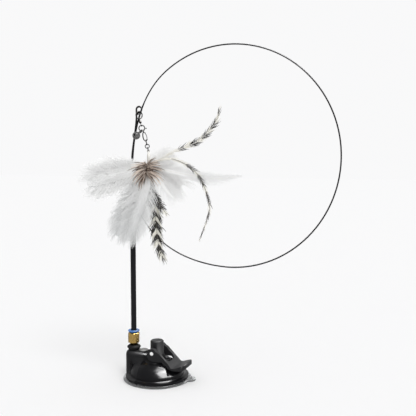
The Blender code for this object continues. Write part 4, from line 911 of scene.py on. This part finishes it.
def plume(name, form, template, look, quill, density):
    """A soft white plume: flat barbs, fluff all round the quill, and a thin core."""
    mesh, points = barb_mesh(name, form, template, look, PLUME_STRAY, count=density)
    link(name + "_barbs", mesh, look, "feathers", (name,))
    mesh, _ = barb_mesh(name, form, template, look, FLUFF_STRAY, "fluff",
                        FLUFF_COUNT * density, form.get("fluff", FLUFF_REACH))
    link(name + "_fluff", mesh, look, "feathers")
    shaft = quill_mesh(name + "_quill", points, PLUME_ROOT)
    link(name + "_quill", shaft, quill, "feathers")
    half_width = form["barb"] * form.get("body", BODY_WIDTH) * MM
    body = core_mesh(name + "_core", points, form, half_width)
    link(name + "_core", body, look, "feathers")


def hackle(name, form, template, look, quill):
    """A narrow hackle: a few stiff barred barbs on a round quill."""
    mesh, points = barb_mesh(name, form, template, look, HACKLE_STRAY)
    link(name + "_barbs", mesh, look, "feathers", (name,))
    shaft = quill_mesh(name + "_quill", points, HACKLE_ROOT)
    link(name + "_quill", shaft, quill, "feathers")


# ------ settings


def tint(name, description, default):
    return bpy.props.FloatVectorProperty(
        name=name, description=description, default=default, size=3, min=0.0, max=1.0,
        subtype="COLOR",
    )


class TeaserFinishes(bpy.types.PropertyGroup):
    housing_colour: tint("Housing", "Colour of the glossy housing", (0.006, 0.006, 0.007))
    lever_colour: tint("Lever", "Colour of the lever and the knob", (0.011, 0.011, 0.012))
    brass_colour: tint("Brass", "Colour of the push-in fitting", (0.42, 0.28, 0.09))
    collar_colour: tint("Collar", "Colour of the release collar", (0.08, 0.2, 0.5))
    down_colour: tint("Down", "Colour of the white plumes", (0.97, 0.97, 0.965))
    # The plumes are painted towards this grey as shade
    down_painted_shade: tint("Down shade", "Colour of the plumes' tips", (0.72, 0.73, 0.73))
    hackle_pale: tint("Hackle pale", "Colour between the hackles' bars", (0.82, 0.8, 0.73))
    hackle_dark: tint("Hackle dark", "Colour of the hackles' bars", (0.022, 0.019, 0.016))
    tuft_colour: tint("Tuft", "Colour of the brown tuft", (0.78, 0.68, 0.6))
    tuft_tip: tint("Tuft tips", "Colour of the tuft's tips", (0.1, 0.06, 0.04))


class TeaserPlumes(bpy.types.PropertyGroup):
    density: bpy.props.FloatProperty(
        name="Density", description="Barbs on each plume against the usual number",
        default=1.0, min=0.1, max=2.0, subtype="FACTOR",
    )
    hairs: bpy.props.IntProperty(
        name="Hairs", description="Fine hairs on each barb of a plume", default=70, min=0,
        max=200,
    )


class TeaserStage(bpy.types.PropertyGroup):
    floor_size: bpy.props.FloatProperty(
        name="Floor size", description="Width of the pale floor", default=12.0, min=1.0,
        unit="LENGTH",
    )
    sun: bpy.props.FloatProperty(
        name="Sun", description="Strength of the soft sun", default=0.9, min=0.0,
    )
    room: bpy.props.FloatProperty(
        name="Room", description="Light from all round", default=0.83, min=0.0,
    )
    focal_length: bpy.props.FloatProperty(
        name="Focal length", description="Lens of the camera", default=56.25, min=10.0,
        unit="CAMERA",
    )


# ------ operators


class TEASER_OT_base(bpy.types.Operator):
    """Dresses the suction disc, the housing, the knob, the pin and the lever"""

    bl_idname = "teaser.base"
    bl_label = "Suction base"

    def execute(self, context):
        settings = context.scene.teaser_finishes
        black, satin = glossy_black(settings), satin_black(settings)
        dress("housing", black)
        dress("suction_disc", clear_vinyl(), drawn_by=DISC_PULL)
        dress("ridge_plug", plug_grey())
        dress("plunger", satin)
        dress("lever", satin)
        dress("lever_pin", pin_end())
        return {"FINISHED"}


class TEASER_OT_fitting(bpy.types.Operator):
    """Dresses the nut, the brass fitting, its rings and the blue collar"""

    bl_idname = "teaser.fitting"
    bl_label = "Push-in fitting"

    def execute(self, context):
        settings = context.scene.teaser_finishes
        rubber = rubber_black()
        dress("collar_nut", rubber)
        dress("seal_ring", rubber)
        dress("fitting_body", machined_brass(settings), angle=25.0)
        dress("gripper_ring", bright_steel())
        dress("release_collar", collar_blue(settings))
        return {"FINISHED"}


class TEASER_OT_wand(bpy.types.Operator):
    """Dresses the tube, its plug and the wire hoop"""

    bl_idname = "teaser.wand"
    bl_label = "Wand and hoop"

    def execute(self, context):
        wire = spring_steel()
        dress("wand_tube", tube_black())
        dress("wire_plug", rubber_black())
        dress("wire_root", wire)
        dress("spring_wire", wire, angle=80.0, swell=lap_swell)
        return {"FINISHED"}


class TEASER_OT_chain(bpy.types.Operator):
    """Dresses the rings, the swivel, the clasp, the hook and the links"""

    bl_idname = "teaser.chain"
    bl_label = "Swivel chain"

    def execute(self, context):
        bright, worn = bright_steel(), worn_steel()
        dress("top_ring", worn, ring=True, swell=TOP_RING_SWELL)
        for node in SILVER:
            dress(node, bright, ring=True, swell=RING_SWELL)
        for node in ("hook", "long_link"):
            dress(node, worn, angle=50.0, swell=LINK_SWELL)
        for node in ("swivel_eye", "swivel_barrel"):
            dress(node, worn, angle=50.0, swell=SWIVEL_SWELL)
        for node in ("clasp_trigger", "hook_gate"):
            dress(node, bright)
        return {"FINISHED"}


class TEASER_OT_bell(bpy.types.Operator):
    """Dresses the round bell and its pellet"""

    bl_idname = "teaser.bell"
    bl_label = "Bell"

    def execute(self, context):
        dress("bell_shell", bright_steel(), angle=40.0)
        dress("bell_ball", worn_steel())
        return {"FINISHED"}


class TEASER_OT_plumes(bpy.types.Operator):
    """Grows the soft white plumes"""

    bl_idname = "teaser.plumes"
    bl_label = "White plumes"

    def execute(self, context):
        options = context.scene.teaser_plumes
        look, quill = white_down(context.scene.teaser_finishes), pale_quill()
        template = barb_template("down_barb", ribbon=0.012, hairs=options.hairs,
                                 hair_length=0.11, hair_width=0.006, bow=0.1, seed=41)
        for name, form in PLUMES.items():
            plume(name, form, template, look, quill, options.density)
        bpy.data.objects.remove(template)
        return {"FINISHED"}


class TEASER_OT_hackles(bpy.types.Operator):
    """Grows the narrow barred hackles"""

    bl_idname = "teaser.hackles"
    bl_label = "Barred hackles"

    def execute(self, context):
        settings = context.scene.teaser_finishes
        look, dark, pale = barred_barbs(settings), dark_quill(settings), pale_quill()
        template = barb_template("hackle_barb", ribbon=0.07, hairs=10, hair_length=0.08,
                                 hair_width=0.012, bow=0.08, seed=43)
        for name, form in HACKLES.items():
            hackle(name, form, template, look, pale if form.get("pale") else dark)
        bpy.data.objects.remove(template)
        return {"FINISHED"}


class TEASER_OT_tuft(bpy.types.Operator):
    """Grows the brown tuft and dresses the knot and its binding"""

    bl_idname = "teaser.tuft"
    bl_label = "Tuft and knot"

    def execute(self, context):
        thread, look = white_thread(), brown_barbs(context.scene.teaser_finishes)
        dress("feather_knot", thread)
        dress("binding", thread, angle=50.0)
        template = barb_template("tuft_barb", ribbon=0.05, hairs=18, hair_length=0.14,
                                 hair_width=0.012, bow=0.1, seed=53)
        mesh, _ = barb_mesh("brown_tuft", TUFT, template, look, TUFT_STRAY)
        link("brown_tuft_barbs", mesh, look, "feathers", ("brown_tuft",))
        bpy.data.objects.remove(template)
        return {"FINISHED"}


def aim(light, place, target):
    """Turns a light at a place so that it shines at the target."""
    way = Vector(target) - Vector(place)
    light.rotation_euler = way.to_track_quat("-Z", "Y").to_euler()


def soft_box(name, place, size, energy, pieces, state):
    """A soft box that only gloss shows: that of these pieces, or of all but these."""
    data = bpy.data.lights.new(name, "AREA")
    data.shape = "RECTANGLE"
    data.size, data.size_y = size
    data.energy = energy
    light = bpy.data.objects.new(name, data)
    light.visible_diffuse = False
    bpy.context.scene.collection.objects.link(light)
    lit = bpy.data.collections.new(name + "_pieces")
    for index, piece in enumerate(pieces):
        lit.objects.link(bpy.data.objects[piece + "_finish"])
        lit.collection_objects[index].light_linking.link_state = state
    light.light_linking.receiver_collection = lit
    light.location = place
    aim(light, place, BOX_TARGET)


def pale_room(scene, strength):
    """A world that lights evenly, and that the camera, gloss and clear pieces see as pale."""
    world = bpy.data.worlds.new("pale_room")
    world.use_nodes = True
    scene.world = world
    tree = Tree(world.node_tree)
    nodes = tree.node_tree.nodes
    nodes.clear()
    path = nodes.new("ShaderNodeLightPath")
    camera, gloss, clear = (Value(tree, path.outputs[name]) for name in (
        "Is Camera Ray", "Is Glossy Ray", "Is Transmission Ray"))
    room = tree.add("ShaderNodeBackground", {}, {"Color": WHITE, "Strength": strength})
    back = tree.add("ShaderNodeBackground", {}, {"Color": BACKDROP, "Strength": 1.0})
    mixed = tree.add("ShaderNodeMixShader", {},
                     {0: (camera + gloss + clear).clamped(), 1: room, 2: back})
    sink = nodes.new("ShaderNodeOutputWorld")
    tree.feed(sink, "Surface", mixed)


class TEASER_OT_stage(bpy.types.Operator):
    """Makes the pale floor, the soft lights and the camera"""

    bl_idname = "teaser.stage"
    bl_label = "Stage"

    def execute(self, context):
        scene, options = context.scene, context.scene.teaser_stage
        half = options.floor_size / 2
        mesh = bpy.data.meshes.new("floor")
        mesh.from_pydata([(-half, -half, 0), (half, -half, 0), (half, half, 0),
                          (-half, half, 0)], [], [(0, 1, 2, 3)])
        floor = bpy.data.objects.new("floor", mesh)
        scene.collection.objects.link(floor)
        floor.location = (0, 0, -FLOOR_DROP)
        paper = Finish("pale_paper", PAPER, 0.7, Specular_IOR_Level=0.0)
        mesh.materials.append(paper.material)
        pale_room(scene, options.room)
        for name, values in SOFT_BOXES.items():
            soft_box(name, **values)
        sun = bpy.data.objects.new("sun", bpy.data.lights.new("sun", "SUN"))
        sun.data.energy = options.sun
        sun.data.angle = math.radians(SUN_SOFTNESS)
        aim(sun, (0.0, 0.0, 0.0), SUN_WAY)
        scene.collection.objects.link(sun)
        camera = bpy.data.objects.new("camera", bpy.data.cameras.new("camera"))
        scene.collection.objects.link(camera)
        camera.data.lens = options.focal_length
        camera.data.sensor_width = SENSOR_WIDTH
        camera.location = CAMERA_PLACE
        camera.rotation_euler = (math.radians(90 - CAMERA_DIP), 0, math.radians(CAMERA_TURN))
        scene.camera = camera
        scene.view_settings.view_transform = "Standard"
        return {"FINISHED"}


OPERATORS = (
    TEASER_OT_base, TEASER_OT_fitting, TEASER_OT_wand, TEASER_OT_chain, TEASER_OT_bell,
    TEASER_OT_plumes, TEASER_OT_hackles, TEASER_OT_tuft, TEASER_OT_stage,
)
GROUPS = {
    "teaser_finishes": TeaserFinishes, "teaser_plumes": TeaserPlumes,
    "teaser_stage": TeaserStage,
}


class TEASER_PT_panel(bpy.types.Panel):
    """Lists the teaser's settings and pieces"""

    bl_idname = "TEASER_PT_panel"
    bl_label = "Feather teaser wand"
    bl_space_type = "VIEW_3D"
    bl_region_type = "UI"
    bl_category = "Teaser"

    def draw(self, context):
        layout = self.layout
        for name, group in GROUPS.items():
            box = layout.box()
            settings = getattr(context.scene, name)
            for key in group.__annotations__:
                box.prop(settings, key)
        for operator in OPERATORS:
            layout.operator(operator.bl_idname)


def register():
    for group in GROUPS.values():
        bpy.utils.register_class(group)
    for operator in OPERATORS:
        bpy.utils.register_class(operator)
    bpy.utils.register_class(TEASER_PT_panel)
    for name, group in GROUPS.items():
        setattr(bpy.types.Scene, name, bpy.props.PointerProperty(type=group))


def unregister():
    for name in GROUPS:
        delattr(bpy.types.Scene, name)
    bpy.utils.unregister_class(TEASER_PT_panel)
    for operator in reversed(OPERATORS):
        bpy.utils.unregister_class(operator)
    for group in reversed(GROUPS.values()):
        bpy.utils.unregister_class(group)


def main():
    register()
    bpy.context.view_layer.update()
    for operator in OPERATORS:
        family, name = operator.bl_idname.split(".")
        getattr(getattr(bpy.ops, family), name)()


if __name__ == "__main__":
    main()
